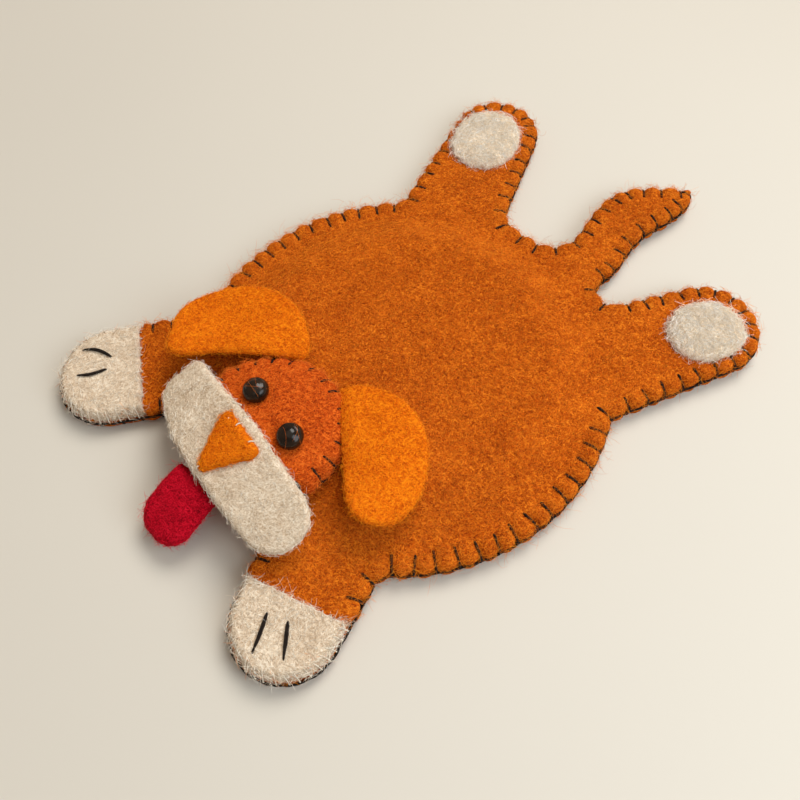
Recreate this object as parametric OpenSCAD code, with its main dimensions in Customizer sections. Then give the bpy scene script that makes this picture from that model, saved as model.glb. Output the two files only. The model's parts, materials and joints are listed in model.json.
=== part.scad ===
// Felt dog hand puppet. Two felt panels of one outline are sewn together round the rim with a
// blanket stitch. The hand goes in through a slit in the belly, into the pocket between them.
// A small stuffed head is tacked to the back, with felt ears, muzzle, nose and tongue.
// Millimetres. +Z is up, the head looks along -Y, the tail points along +Y and +X is the dog's
// left. The origin is the middle of the belly's underside.

/* [Felt] */
// Thickness of the felt of the two body panels
felt_t = 2.8; // [2.6:0.1:3]
// Thickness of the felt of the ears, muzzle, nose and tongue
trim_t = 2.2; // [1.8:0.1:2.4]
// Thickness of the white felt sewn over the front paws
cover_t = 1.6; // [1.2:0.1:1.8]
// Thickness of the wool pads felted on the hind feet
pad_t = 1.2; // [0.8:0.1:1.6]

/* [Body] */
// Radius of the round body
body_r = 57; // [56:0.5:58]
// Radius of the notch between the body and each limb
notch_r = 9; // [7:0.5:9.5]
// Radius of the sharper notch on the outer side of a limb
outer_notch_r = 5; // [4:0.5:9]
// Radius of the tight notch between the left leg and the tail
tail_notch_r = 5.1; // [4.9:0.1:5.2]
// Radius at which the limbs bend
crease_r = 59.2; // [58.5:0.1:59.5]
// Height of the empty pocket between the panels
pocket_h = 5; // [4.8:0.1:5.4]
// Radius of the pocket where the panels part
pocket_r = 49; // [47:0.5:49]

/* [Hand slit] */
// Length of the slit across the belly
slit_w = 76; // [70:1:78]
// Width of the slit as it lies open
slit_d = 22; // [18:1:24]
// Distance of the slit behind the middle of the body
slit_y = 22; // [20:1:24]

/* [Stitching] */
// Distance between two blanket stitches
stitch_pitch = 5.4; // [5:0.1:6]
// Thickness of the sewing thread
thread_d = 0.8; // [0.6:0.1:0.9]
// Length of a blanket stitch on the felt's face
stitch_len = 4.5; // [3.5:0.1:4.6]

/* [Head] */
// Radius of the head
head_r = 19.8; // [19:0.2:20]
// Distance of the head's middle in front of the body's middle
head_y = 39.5; // [39:0.5:40]
// Height of the stuffed face over its seam
head_dome = 5.8; // [5:0.1:6]
// Thickness of the head's felt
head_felt_t = 2; // [1.8:0.1:2.2]
// Diameter of the bead eyes
eye_d = 6.5; // [6:0.5:7]
// Distance between the eyes
eye_gap = 15.7; // [15:0.1:16.4]

/* [Muzzle] */
// Length of the muzzle from side to side
muzzle_w = 60; // [57:0.5:61]
// Width of the muzzle strip
muzzle_d = 17.5; // [17:0.1:18]
// How far the ends of the muzzle droop
muzzle_droop = 6; // [5:0.5:6]
// Width of the tongue
tongue_w = 15.5; // [14:0.5:16]
// Length of the tongue
tongue_l = 15.5; // [14.5:0.5:16]

/* [Ears] */
// Half the length of an ear along its straight side
ear_a = 18.5; // [17.5:0.1:19]
// Width of an ear across its round side
ear_b = 18.3; // [17:0.1:19]

/* [Hidden] */

// Colours
tan_felt = "#c2600f";
rust_felt = "#c0480f";
ear_felt = "#e8780a";
white_felt = "#e4d8c4";
red_felt = "#b00818";
black_thread = "#241a14";
white_thread = "#f2e8dc";

// Limbs, counter-clockwise from the dog's left arm:
// the middle of the round tip, its radius, the direction of the limb, and how much it tapers
LEFT_ARM = 0;
LEFT_LEG = 1;
TAIL = 2;
RIGHT_LEG = 3;
RIGHT_ARM = 4;
limb_tip = [[39.3, -61.5], [41.8, 73.8], [5, 90], [-51, 76], [-45.8, -63.9]];
limb_r = [13.4, 13.2, 8, 12.8, 14.3];
limb_dir = [-62, 72, 90, 119, -115.8];
limb_taper = [3, 4, 0, 3, 0];
limb_from = [-90, 0, 73.5, 102.8, 180];   // the sector of the body's plane that holds each limb
limb_to = [0, 73.5, 102.8, 180, 270];
root_w = [40, 40, 26, 40, 40];            // length of each limb's crease, and some more

tail_x = 4.8;        // middle of the tail's root
tail_tip_y = 104;
tail_hw = 7.5;       // half the tail's width
tail_sway = 5;       // how far the tail bends to the dog's right
tail_crease_y = 60;

paw_line = [5.4, 0, 0, 0, 8.2];  // the paw cover starts this far before the middle of the tip
pad_size = [19, 19.5];           // hind foot pad, across and along the leg
pad_back = [0, 3.6, 0, 6];       // distance from the middle of the tip back to the pad's middle
leg_stitch_len = 3;              // shorter stitches on the tail and round the pads
flex_gap = 0.4;      // space at a crease, so that the parts turn without touching
lift = 0.05;         // space between a thread and the felt it lies on
thread_gap = 0.1;    // space between a thread and the felt's cut edge

rim_top = 2 * felt_t;
back_top = 2 * felt_t + pocket_h;
pocket_slope = 7;    // how much narrower the pocket is at its top
head_z = back_top + 0.3;
seam_z = head_z + head_felt_t;
face_rim_z = seam_z + 1.3;
dome_r = (head_r * head_r + head_dome * head_dome) / (2 * head_dome);
dome_z = face_rim_z + head_dome - dome_r;
head_x = -0.8;       // the head is sewn on a little to one side
eye_y = -head_y + 2.2;
neck_axis_y = -15;
neck_axis_z = back_top + thread_d / 2 + lift;
muzzle_x = 1;
muzzle_y = -head_y - 12.3;
muzzle_z = 18.3;
muzzle_tilt = 16;
muzzle_bend_r = (muzzle_w * muzzle_w / 4 + muzzle_droop * muzzle_droop) / (2 * muzzle_droop);
tongue_y = -head_y - head_r - 2.4;
tongue_z = 11.6;
tongue_tilt = 22;
tongue_turn = 8;     // the tongue hangs a little to the dog's left
ear_axis_r = head_r + thread_d + 0.3 + trim_t / 2;
ear_z = back_top + 4.8;
ear_angle = [59, 137];     // where the left and the right ear meet the head
ear_shift = [9.8, 11.7];   // how far each ear's middle lies along its sewn edge
ear_side = [-1, 1];        // which way along the head's edge each ear hangs
ear_extra = [-0.8, 0.8];   // the ears are cut by hand, one a little wider than the other
ear_heel = 1.5;            // how far the straight side bulges

// ---- Outline of the two body panels -------------------------------------------------------

function unit(a) = [cos(a), sin(a)];
function arc(c, r, a0, a1, n, first = 0) =
    [for (i = [first:n]) c + r * unit(a0 + (a1 - a0) * i / n)];
function near(a, ref) = ref + (((a - ref) % 360) + 540) % 360 - 180;

// Middle of the notch arc that joins the body's circle to a straight side. The side is at
// distance o from the origin along the direction n_a, and runs outwards along d_a.
function notch(o, n_a, d_a, r) =
    let (across = o + r)
    across * unit(n_a) + sqrt(pow(body_r + r, 2) - across * across) * unit(d_a);

function side_o(i, n_a) = unit(n_a) * limb_tip[i] + limb_r[i];
function r_in(i) = i == TAIL ? tail_notch_r : i == LEFT_LEG ? outer_notch_r
    : i == RIGHT_ARM ? outer_notch_r : notch_r;
function r_out(i) = i == LEFT_LEG ? tail_notch_r : i == LEFT_ARM ? outer_notch_r
    : i == RIGHT_LEG ? outer_notch_r : notch_r;

// The tight notch is one arc that touches the side of the tail and the side of the leg
tail_notch =
    let (n = unit(limb_dir[LEFT_LEG] + 90 - limb_taper[LEFT_LEG]), x = tail_x + tail_hw + tail_notch_r)
    [x, (n * limb_tip[LEFT_LEG] + limb_r[LEFT_LEG] + tail_notch_r - n.x * x) / n.y];

function notch_in(i) =
    i == TAIL ? tail_notch
    : notch(side_o(i, limb_dir[i] - 90 + limb_taper[i]), limb_dir[i] - 90 + limb_taper[i],
        limb_dir[i] + limb_taper[i], r_in(i));
function notch_out(i) =
    i == TAIL ? notch(tail_hw - tail_x, 180, 90, r_out(i))
    : i == LEFT_LEG ? tail_notch
    : notch(side_o(i, limb_dir[i] + 90 - limb_taper[i]), limb_dir[i] + 90 - limb_taper[i],
        limb_dir[i] - limb_taper[i], r_out(i));
function polar(p, ref) = near(atan2(p.y, p.x), ref);

// Half width and middle of the tail at a height y
tail_root_y = notch_out(TAIL).y;
function tail_share(y) = (y - tail_root_y) / (tail_tip_y - tail_root_y);
function tail_mid(y) = tail_x - tail_sway * pow(max(0, sin(180 * tail_share(y))), 1.5);
function tail_half(y) =
    let (s = tail_share(y), nose = max(0, (s - 0.68) / 0.32))
    (tail_hw + 0.6 * s) * pow(1 - min(1, nose * nose), 0.75);
tail_steps = 18;
function tail_y(i) = tail_root_y + (tail_tip_y - tail_root_y) * sin(90 * i / tail_steps);

function limb_end(i) =
    i == TAIL ? concat(
        [for (k = [0:tail_steps]) [tail_mid(tail_y(k)) + tail_half(tail_y(k)), tail_y(k)]],
        [for (k = [tail_steps - 1:-1:1]) [tail_mid(tail_y(k)) - tail_half(tail_y(k)), tail_y(k)]])
    : arc(limb_tip[i], limb_r[i], limb_dir[i] - 90 + limb_taper[i],
        limb_dir[i] + 90 - limb_taper[i], 18);

function limb_path(i) =
    let (a = limb_dir[i], k = limb_taper[i], q = notch_in(i), r = notch_out(i))
    concat(arc(q, r_in(i), polar(q, a) + 180, a + 90 + k, 6, i == TAIL ? 1 : 0), limb_end(i),
        arc(r, r_out(i), a + 270 - k, polar(r, a) + 180, 6));

// The stretch of the body's circle after limb i, up to the next limb
function body_arc(i) =
    let (j = (i + 1) % 5, a0 = polar(notch_out(i), limb_dir[i]),
        a1 = polar(notch_in(j), limb_dir[j]), a2 = a1 < a0 ? a1 + 360 : a1,
        n = max(2, ceil((a2 - a0) / 5)))
    i == LEFT_LEG ? [] : [for (k = [1:n - 1]) body_r * unit(a0 + (a2 - a0) * k / n)];

outline = [for (i = [0:4]) each concat(limb_path(i), body_arc(i))];

// The outline by the distance along it
run = [for (i = 0, s = 0; i <= len(outline);
    s = s + norm(outline[(i + 1) % len(outline)] - outline[i % len(outline)]), i = i + 1) s];
rim = run[len(outline)];
run_x = [for (i = [0:len(outline)]) [run[i], outline[i % len(outline)].x]];
run_y = [for (i = [0:len(outline)]) [run[i], outline[i % len(outline)].y]];
function wrap(s) = s < 0 ? s + rim : s > rim ? s - rim : s;
function rim_point(s) = [lookup(wrap(s), run_x), lookup(wrap(s), run_y)];
function rim_angle(s) =
    let (d = rim_point(s + 0.6) - rim_point(s - 0.6))
    atan2(d.y, d.x) - 90;
stitch_count = round(rim / stitch_pitch);

// ---- Creases ------------------------------------------------------------------------------

// Where a limb's middle line crosses its crease
function crease(i) =
    i == TAIL ? [tail_x, tail_crease_y]
    : let (c = limb_tip[i], u = unit(limb_dir[i]), t = c * u)
    c - (t - sqrt(t * t - c * c + crease_r * crease_r)) * u;
function crease_dir(i) = i == TAIL ? 90 : atan2(crease(i).y, crease(i).x);
function along(p, i) = (p - crease(i)) * unit(crease_dir(i));
function in_sector(p, i) =
    let (a = near(atan2(p.y, p.x), (limb_from[i] + limb_to[i]) / 2))
    a > limb_from[i] && a < limb_to[i];
function on_limb(p, i) = along(p, i) > 0 && in_sector(p, i);
function limb_of(p) = let (found = [for (i = [0:4]) if (on_limb(p, i)) i]) len(found) ? found[0] : -1;
function near_crease(p) =
    len([for (i = [0:4]) if (abs(along(p, i) - felt_t / 2) < 2.6 && in_sector(p, i)) i]) > 0;
function on_paw(p, i) = (p - limb_tip[i]) * unit(limb_dir[i]) > -paw_line[i] - 1;
function is_arm(i) = i == LEFT_ARM || i == RIGHT_ARM;

module at_crease(i) {
    translate([crease(i).x, crease(i).y, 0]) rotate(crease_dir(i)) children();
}

// Everything of limb i that lies further out than its crease
module beyond_crease(i, from) {
    c = crease(i) + from * unit(crease_dir(i));
    t = unit(crease_dir(i) + 90);
    a0 = limb_from[i];
    a1 = limb_to[i];
    reach = 140;
    // where the crease's line meets the two sides of the sector
    function meet(a) =
        let (u = unit(a), n = unit(crease_dir(i)), k = u * n)
        k > 0.2 ? (c * n) / k * u : c + sign(sin(a - crease_dir(i))) * reach * t;
    translate([0, 0, -1]) linear_extrude(40)
        polygon([meet(a0), reach * 1.5 * unit(a0), reach * 2 * unit((a0 + a1) / 2),
            reach * 1.5 * unit(a1), meet(a1)]);
}

module felt_slab(z, t) {
    translate([0, 0, z]) linear_extrude(t) polygon(outline);
}

// One felt layer of a limb. Its inner end is rounded about the crease's axis.
module limb_layer(i, z) {
    color(tan_felt)
    intersection() {
        felt_slab(z, felt_t);
        union() {
            beyond_crease(i, flex_gap + felt_t);
            at_crease(i) translate([flex_gap + felt_t, 0, felt_t])
                rotate([90, 0, 0]) cylinder(r = felt_t + 0.05, h = root_w[i], center = true, $fn = 48);
        }
    }
}

// ---- Body ---------------------------------------------------------------------------------

module pocket() {
    translate([0, 0, felt_t]) cylinder(h = pocket_h, r1 = pocket_r, r2 = pocket_r - pocket_slope, $fn = 96);
}

module back_panel() {
    color(tan_felt)
    difference() {
        union() {
            felt_slab(felt_t, felt_t);
            translate([0, 0, rim_top])
                cylinder(h = pocket_h, r1 = pocket_r + 2, r2 = pocket_r + 2 - pocket_slope, $fn = 96);
        }
        pocket();
        for (i = [0:4]) beyond_crease(i, 0);
    }
}

module slit_shape(grow) {
    hw = slit_w / 2 - slit_d / 2;
    translate([0, slit_y]) {
        square([2 * hw, slit_d + 2 * grow], center = true);
        for (s = [-1, 1]) translate([s * hw, 0]) circle(slit_d / 2 + grow, $fn = 48);
    }
}

module belly_panel() {
    color(tan_felt)
    difference() {
        felt_slab(0, felt_t);
        translate([0, 0, -1]) linear_extrude(felt_t + 2) slit_shape(0);
        for (i = [0:4]) beyond_crease(i, 0);
    }
}

// A stitch over the rim: a leg on the face and a drop down the cut edge, in the plane of the
// rim's outward direction
module rim_loop(s, top, leg) {
    p = rim_point(s);
    translate([p.x, p.y, 0]) rotate(rim_angle(s)) rotate([90, 0, 0])
        linear_extrude(thread_d, center = true)
            polygon([[-leg, top + lift], [thread_gap, top + lift], [thread_gap, felt_t / 4],
                [thread_gap + thread_d, felt_t / 4], [thread_gap + thread_d, top + lift + thread_d],
                [-leg, top + lift + thread_d]]);
}

module blanket_stitch(i) {
    color(black_thread)
    for (k = [0:stitch_count - 1]) {
        s = k * rim / stitch_count;
        p = rim_point(s);
        if (limb_of(p) == i && !near_crease(p) && !(is_arm(i) && on_paw(p, i)) && p.y < tail_tip_y - 5)
            rim_loop(s, rim_top, i < LEFT_LEG || i > RIGHT_LEG ? stitch_len : leg_stitch_len);
    }
}

module hand_slit_stitch() {
    hw = slit_w / 2 - slit_d / 2;
    n = 9;
    color(black_thread)
    for (side = [-1, 1], k = [0:n - 1])
        translate([-hw + 2 * hw * k / (n - 1), slit_y + side * (slit_d / 2 - thread_gap - thread_d / 2),
            felt_t / 4 + thread_d])
            cube([thread_d, thread_d, felt_t - 1], center = true);
}

// ---- Arms, legs and tail ------------------------------------------------------------------

module paw_cover(i) {
    color(white_felt)
    intersection() {
        felt_slab(rim_top, cover_t);
        translate([limb_tip[i].x, limb_tip[i].y, 0]) rotate(limb_dir[i])
            translate([-paw_line[i], -20, 0]) cube([40, 40, 20]);
    }
}

// White whip stitches over the paw's rim and along the cover's straight edge
module paw_stitch(i) {
    color(white_thread) {
        for (k = [0:2 * stitch_count - 1]) {
            s = k * rim / (2 * stitch_count);
            p = rim_point(s);
            if (limb_of(p) == i && (p - limb_tip[i]) * unit(limb_dir[i]) > -paw_line[i] + 1)
                rim_loop(s, rim_top + cover_t, 1.6);
        }
        for (k = [-4:4])
            translate([limb_tip[i].x, limb_tip[i].y, rim_top + cover_t + lift + thread_d / 4])
                rotate(limb_dir[i]) translate([-paw_line[i] + 1.4, k * 2.6, 0])
                    rotate(25) cube([2.2, 0.5, thread_d / 2], center = true);
    }
}

module claw_stitch(i) {
    color(black_thread)
    for (side = [-1, 1])
        translate([limb_tip[i].x, limb_tip[i].y, rim_top + cover_t + lift + thread_d / 2])
            rotate(limb_dir[i] + side * 6) translate([2, side * 3.6, 0]) rotate([0, 90, 0])
                cylinder(d = thread_d, h = 9, center = true, $fn = 16);
}

module foot_pad(i) {
    color(white_felt)
    translate([limb_tip[i].x, limb_tip[i].y, rim_top]) rotate(limb_dir[i])
        translate([-pad_back[i], 0, 0]) linear_extrude(pad_t)
            polygon([for (a = [0:15:345]) [pad_size.y / 2 * cos(a), pad_size.x / 2 * sin(a)]]);
}

// ---- Head ---------------------------------------------------------------------------------

module head_place() {
    translate([head_x, -head_y, 0]) children();
}

module dome_ball(grow) {
    translate([0, 0, dome_z]) sphere(dome_r + grow, $fn = 128);
}

function dome_at(r) = dome_z + sqrt(dome_r * dome_r - r * r);
eye_lift = 1.1;      // how far a bead's middle stands over the face
module eye_ball(side, grow) {
    translate([side * eye_gap / 2, eye_y, dome_at(eye_gap / 2) + eye_lift])
        sphere(d = eye_d + 2 * grow, $fn = 48);
}

module face_panel() {
    color(rust_felt)
    difference() {
        head_place() intersection() {
            dome_ball(0);
            translate([0, 0, seam_z]) cylinder(r = head_r, h = 20, $fn = 96);
        }
        head_place() dome_ball(-head_felt_t);
        for (side = [-1, 1]) eye_ball(side, 0.1);
    }
}

module head_back_panel() {
    color(rust_felt)
    head_place() translate([0, 0, head_z]) cylinder(r = head_r, h = head_felt_t, $fn = 96);
}

module head_stuffing() {
    color("ivory")
    difference() {
        head_place() intersection() {
            dome_ball(-head_felt_t - 0.1);
            translate([0, 0, seam_z + 0.05]) cylinder(r = head_r - 2, h = 20, $fn = 96);
        }
        for (side = [-1, 1]) eye_ball(side, 0.1);
    }
}

module head_seam_stitch() {
    loops = 24;
    color(black_thread)
    head_place() intersection() {
        difference() {
            intersection() {
                dome_ball(thread_d + lift);
                translate([0, 0, head_z + 0.4]) cylinder(r = head_r + thread_d, h = 20, $fn = 96);
            }
            intersection() {
                dome_ball(lift);
                cylinder(r = head_r + thread_gap, h = 40, $fn = 96);
            }
        }
        for (k = [0:13])
            rotate(k * 360 / loops - 7.5) translate([head_r - 3.4, -thread_d / 2, 0])
                cube([6, thread_d, 40]);
    }
}

module eye(side) {
    color("black") eye_ball(side, 0);
}

module on_muzzle() {
    translate([muzzle_x, muzzle_y, muzzle_z]) rotate([muzzle_tilt, 0, 0]) children();
}

module muzzle_bend(r) {
    translate([0, 0, -muzzle_bend_r]) rotate([90, 0, 0]) cylinder(r = r, h = 60, center = true, $fn = 180);
}

module muzzle() {
    color(white_felt)
    difference() {
        on_muzzle() intersection() {
            difference() {
                muzzle_bend(muzzle_bend_r + trim_t / 2);
                muzzle_bend(muzzle_bend_r - trim_t / 2);
            }
            translate([0, 0, -20]) linear_extrude(40) {
                square([muzzle_w - muzzle_d, muzzle_d], center = true);
                for (s = [-1, 1]) translate([s * (muzzle_w - muzzle_d) / 2, 0])
                    circle(d = muzzle_d, $fn = 64);
            }
        }
        head_place() dome_ball(0.15);
    }
}

module thread_bar(p, a, l) {
    translate(p) rotate(a) cube([l, 0.5, thread_d / 2], center = true);
}

module muzzle_stitch() {
    z = trim_t / 2 + lift + thread_d / 4;
    color(white_thread)
    on_muzzle() for (k = [-4, -3, -2, 2, 3, 4])
        thread_bar([k * 4.2, muzzle_d / 2 - 1.6, z], 70 + 5 * k, 2);
}

// The nose is a triangle with round corners, its point to the front
nose_w = 15.5;
nose_l = 14.5;
module nose() {
    color(ear_felt)
    on_muzzle() translate([-0.6, 0, trim_t / 2 + lift]) linear_extrude(trim_t)
        hull() {
            for (s = [-1, 1]) translate([s * (nose_w / 2 - 2), nose_l / 2 - 2]) circle(2, $fn = 24);
            translate([0, 2 - nose_l / 2]) circle(2, $fn = 24);
        }
}

module nose_stitch() {
    z = 1.5 * trim_t + 2 * lift + thread_d / 4;
    color(white_thread)
    on_muzzle() {
        thread_bar([-5.4, 3.6, z], 120, 1.8);
        thread_bar([-1.8, 4.2, z], 95, 2.2);
        thread_bar([1.6, 4, z], 75, 2.2);
        thread_bar([5.4, 3.2, z], 40, 1.8);
    }
}

module tongue() {
    color(red_felt)
    translate([head_x, tongue_y, tongue_z]) rotate([0, 0, tongue_turn]) rotate([tongue_tilt, 0, 0]) {
        translate([0, 0, -trim_t / 2]) linear_extrude(trim_t) hull() {
            translate([-tongue_w / 2 + 1, -1]) square([tongue_w - 2, 1]);
            translate([0, tongue_w / 2 - tongue_l]) circle(d = tongue_w, $fn = 48);
        }
        rotate([0, 90, 0]) cylinder(d = trim_t, h = tongue_w - 2, center = true, $fn = 32);
    }
}

// ---- Ears ---------------------------------------------------------------------------------

// A half-moon with its straight side on the x axis, from one tip at x = -ear_a to the other
function ear_point(t, k) =
    [ear_a * cos(t), sin(t) >= 0 ? (ear_b + ear_extra[k]) * sin(t) : -ear_heel * pow(-sin(t), 0.6)];

module ear(k) {
    color(ear_felt)
    head_place() rotate(ear_angle[k]) translate([ear_axis_r, 0, ear_z]) rotate(-90) {
        intersection() {
            translate([ear_side[k] * -ear_shift[k], ear_heel - trim_t / 2, -trim_t / 2])
                linear_extrude(trim_t) polygon([for (t = [0:9:351]) ear_point(t, k)]);
            translate([-50, 0, -10]) cube([100, 60, 20]);
        }
        translate([ear_side[k] * -4, 0, 0])
            rotate([0, 90, 0]) cylinder(d = trim_t, h = 12, center = true, $fn = 32);
    }
}

module neck_stitch() {
    color(black_thread)
    translate([0, neck_axis_y, neck_axis_z]) rotate([0, 90, 0])
        cylinder(d = thread_d, h = 8, center = true, $fn = 24);
}

// ---- Nodes --------------------------------------------------------------------------------

back_panel();
belly_panel();
blanket_stitch(-1);  // rim_stitch
hand_slit_stitch();
neck_stitch();
face_panel();
head_back_panel();
head_stuffing();
head_seam_stitch();
eye(1);  // left_eye
eye(-1);  // right_eye
muzzle();
muzzle_stitch();
nose();
nose_stitch();
tongue();
ear(0);  // left_ear
ear(1);  // right_ear
limb_layer(LEFT_ARM, felt_t);  // back_panel_left_arm
limb_layer(LEFT_ARM, 0);  // belly_panel_left_arm
blanket_stitch(LEFT_ARM);  // left_arm_stitch
paw_cover(LEFT_ARM);  // left_paw_cover
paw_stitch(LEFT_ARM);  // left_paw_stitch
claw_stitch(LEFT_ARM);  // left_claw_stitch
limb_layer(RIGHT_ARM, felt_t);  // back_panel_right_arm
limb_layer(RIGHT_ARM, 0);  // belly_panel_right_arm
blanket_stitch(RIGHT_ARM);  // right_arm_stitch
paw_cover(RIGHT_ARM);  // right_paw_cover
paw_stitch(RIGHT_ARM);  // right_paw_stitch
claw_stitch(RIGHT_ARM);  // right_claw_stitch
limb_layer(LEFT_LEG, felt_t);  // back_panel_left_leg
limb_layer(LEFT_LEG, 0);  // belly_panel_left_leg
blanket_stitch(LEFT_LEG);  // left_leg_stitch
foot_pad(LEFT_LEG);  // left_foot_pad
limb_layer(RIGHT_LEG, felt_t);  // back_panel_right_leg
limb_layer(RIGHT_LEG, 0);  // belly_panel_right_leg
blanket_stitch(RIGHT_LEG);  // right_leg_stitch
foot_pad(RIGHT_LEG);  // right_foot_pad
limb_layer(TAIL, felt_t);  // back_panel_tail
limb_layer(TAIL, 0);  // belly_panel_tail
blanket_stitch(TAIL);  // tail_stitch
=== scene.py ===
import json
import math

import bpy
import numpy as np
from mathutils import Matrix, Vector, geometry, noise
from mathutils.kdtree import KDTree


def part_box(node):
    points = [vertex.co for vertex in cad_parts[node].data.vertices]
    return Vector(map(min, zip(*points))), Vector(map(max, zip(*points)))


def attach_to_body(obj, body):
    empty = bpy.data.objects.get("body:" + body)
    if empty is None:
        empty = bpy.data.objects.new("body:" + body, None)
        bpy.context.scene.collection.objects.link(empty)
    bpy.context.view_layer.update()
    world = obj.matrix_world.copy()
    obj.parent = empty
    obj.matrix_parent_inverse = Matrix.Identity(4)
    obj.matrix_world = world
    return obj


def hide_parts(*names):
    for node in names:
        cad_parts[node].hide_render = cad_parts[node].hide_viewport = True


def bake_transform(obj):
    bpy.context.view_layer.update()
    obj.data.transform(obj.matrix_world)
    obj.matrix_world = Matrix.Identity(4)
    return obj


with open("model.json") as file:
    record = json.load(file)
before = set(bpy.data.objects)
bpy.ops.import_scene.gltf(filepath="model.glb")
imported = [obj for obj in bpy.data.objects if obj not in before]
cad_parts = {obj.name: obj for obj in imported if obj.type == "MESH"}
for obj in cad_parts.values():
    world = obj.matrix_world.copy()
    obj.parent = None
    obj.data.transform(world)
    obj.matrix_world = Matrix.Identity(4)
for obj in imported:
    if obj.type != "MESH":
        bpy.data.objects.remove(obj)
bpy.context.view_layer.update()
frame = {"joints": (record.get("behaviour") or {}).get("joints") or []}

# The puppet is built in millimetres, in the frame's axes, and each mesh is written in metres.
MM = 0.001
rng = np.random.default_rng(11)

# ---- Camera

AZ, EL, ROLL = (math.radians(a) for a in (58.43, 59.29, -5.19))
CAMERA_AWAY, CAMERA_SHIFT = 0.2328, Vector((-0.0039, 0, 0))      # metres
BACKWARD = Vector((math.sin(AZ) * math.cos(EL), -math.cos(AZ) * math.cos(EL), math.sin(EL)))
RIGHT = Vector((math.cos(AZ), math.sin(AZ), 0))
UP = BACKWARD.cross(RIGHT)
rolled_right = math.cos(ROLL) * RIGHT + math.sin(ROLL) * UP
rolled_up = math.cos(ROLL) * UP - math.sin(ROLL) * RIGHT
camera = bpy.data.objects.new("camera", bpy.data.cameras.new("camera"))
bpy.context.scene.collection.objects.link(camera)
bpy.context.scene.camera = camera
bpy.context.scene.view_settings.view_transform = "Standard"
camera.matrix_world = Matrix.Translation(BACKWARD * CAMERA_AWAY + CAMERA_SHIFT) @ Matrix(
    (rolled_right, rolled_up, BACKWARD)).transposed().to_4x4()
camera.data.lens, camera.data.sensor_width = 37.795, 36.0
camera.data.shift_x, camera.data.shift_y = 0.0107, -0.045
camera.data.clip_start = 0.01

# ---- Sizes

LOW, HIGH = 0, 1
CHUNK = 2000                                  # points looked up at a time, to save memory
SNAP = 0.03                                   # points this near an outline are on it
TABLE_GAP = 0.02                              # nothing lies lower than this


def node_box(name):
    """A CAD node's lowest and highest corner, in millimetres."""
    return np.array(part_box(name)) / MM


BELLY, BACK = node_box("belly_panel"), node_box("back_panel")
FELT_T = BELLY[HIGH][2] - BELLY[LOW][2]       # thickness of a body panel
BODY_R = BELLY[HIGH][0]                       # radius of the round body
RIM_TOP = 2 * FELT_T                          # top of the two panels where they are sewn
CROWN = BACK[HIGH][2] - RIM_TOP               # how far the pocket lifts the back
STITCHES = 131                                # blanket stitches round the rim
STITCH_LEN = 4.4
CROWN_FLAT, CROWN_SLOPE = 37, 15.5            # radius of the crown's flat middle, and its slope
THREAD_R = 0.36

# For each limb: the middle and the radius of its round end, the way it points in degrees, how
# far its sides close in towards the end, and the sector of the body that it lies in.
LIMBS = ["left_arm", "left_leg", "tail", "right_leg", "right_arm"]
LEFT_ARM, LEFT_LEG, TAIL, RIGHT_LEG, RIGHT_ARM = range(5)
TIP = np.array([[39.3, -61.5], [41.8, 73.8], [4.8, 90], [-51, 76], [-45.8, -63.9]])
TIP_R = [13.4, 13.2, 8, 12.8, 14.3]
DIRECTION = [-62, 72, 90, 119, -115.8]
TAPER = [3, 4, 0, 3, 0]
SECTOR = [(-90, 0), (0, 73.5), (73.5, 102.8), (102.8, 180), (180, 270)]
NOTCH_R = [9.0, 5.0, 5.1, 9.0, 5.0]           # radius of the round notch before each limb
PAW_LINE = {LEFT_ARM: 5.4, RIGHT_ARM: 8.2}    # the cover starts this far before the tip's middle
PAD_BACK = {LEFT_LEG: 2.0, RIGHT_LEG: 5.8}    # how far a pad lies behind the tip's middle,
PAD_SIDE = {LEFT_LEG: -1.7, RIGHT_LEG: 1.1}   # and to its side
PAD_SIZE = {LEFT_LEG: (17.8, 20.6), RIGHT_LEG: (20.2, 24.0)}
# The tail's middle, half width at the root, sideways sway and end.
TAIL_X, TAIL_HW, TAIL_SWAY, TAIL_END = 4.8, 7.5, 5.0, 105.6


def unit(a):
    return np.array([math.cos(math.radians(a)), math.sin(math.radians(a))])


def polar(p, ref):
    a = math.degrees(math.atan2(p[1], p[0]))
    return ref + (a - ref + 180) % 360 - 180


# ---- The outline of the body


def arc(c, r, a0, a1, step=0.4):
    n = max(2, int(abs(math.radians(a1 - a0)) * r / step))
    return [c + r * unit(a0 + (a1 - a0) * i / n) for i in range(n)]


def notch(i, sign):
    """Middle of the round notch before limb i, for sign -1, or after it, for sign 1."""
    r = NOTCH_R[i if sign < 0 else (i + 1) % 5]
    if (i, sign) in ((LEFT_LEG, 1), (TAIL, -1)):
        # This notch touches the leg's side and the tail's, and not the body's circle.
        normal = DIRECTION[LEFT_LEG] + 90 - TAPER[LEFT_LEG]
        n, x = unit(normal), TAIL_X + TAIL_HW + r
        return np.array([x, (float(n @ TIP[LEFT_LEG]) + TIP_R[LEFT_LEG] + r - n[0] * x) / n[1]])
    if i == TAIL:
        normal, side = 180, TAIL_HW - TAIL_X
    else:
        normal = DIRECTION[i] + sign * (90 - TAPER[i])
        side = float(unit(normal) @ TIP[i]) + TIP_R[i]
    k = side + r
    return k * unit(normal) + math.sqrt((BODY_R + r) ** 2 - k * k) * unit(normal - sign * 90)


def tail_side(y, sign, root):
    s = (y - root) / (TAIL_END - root)
    mid = TAIL_X - TAIL_SWAY * max(0.0, math.sin(math.pi * s)) ** 1.5
    half = (TAIL_HW + 0.6 * s) * (1 - min(1.0, max(0.0, (s - 0.55) / 0.45) ** 1.8)) ** 0.85
    return np.array([mid + sign * half, y])


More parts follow.
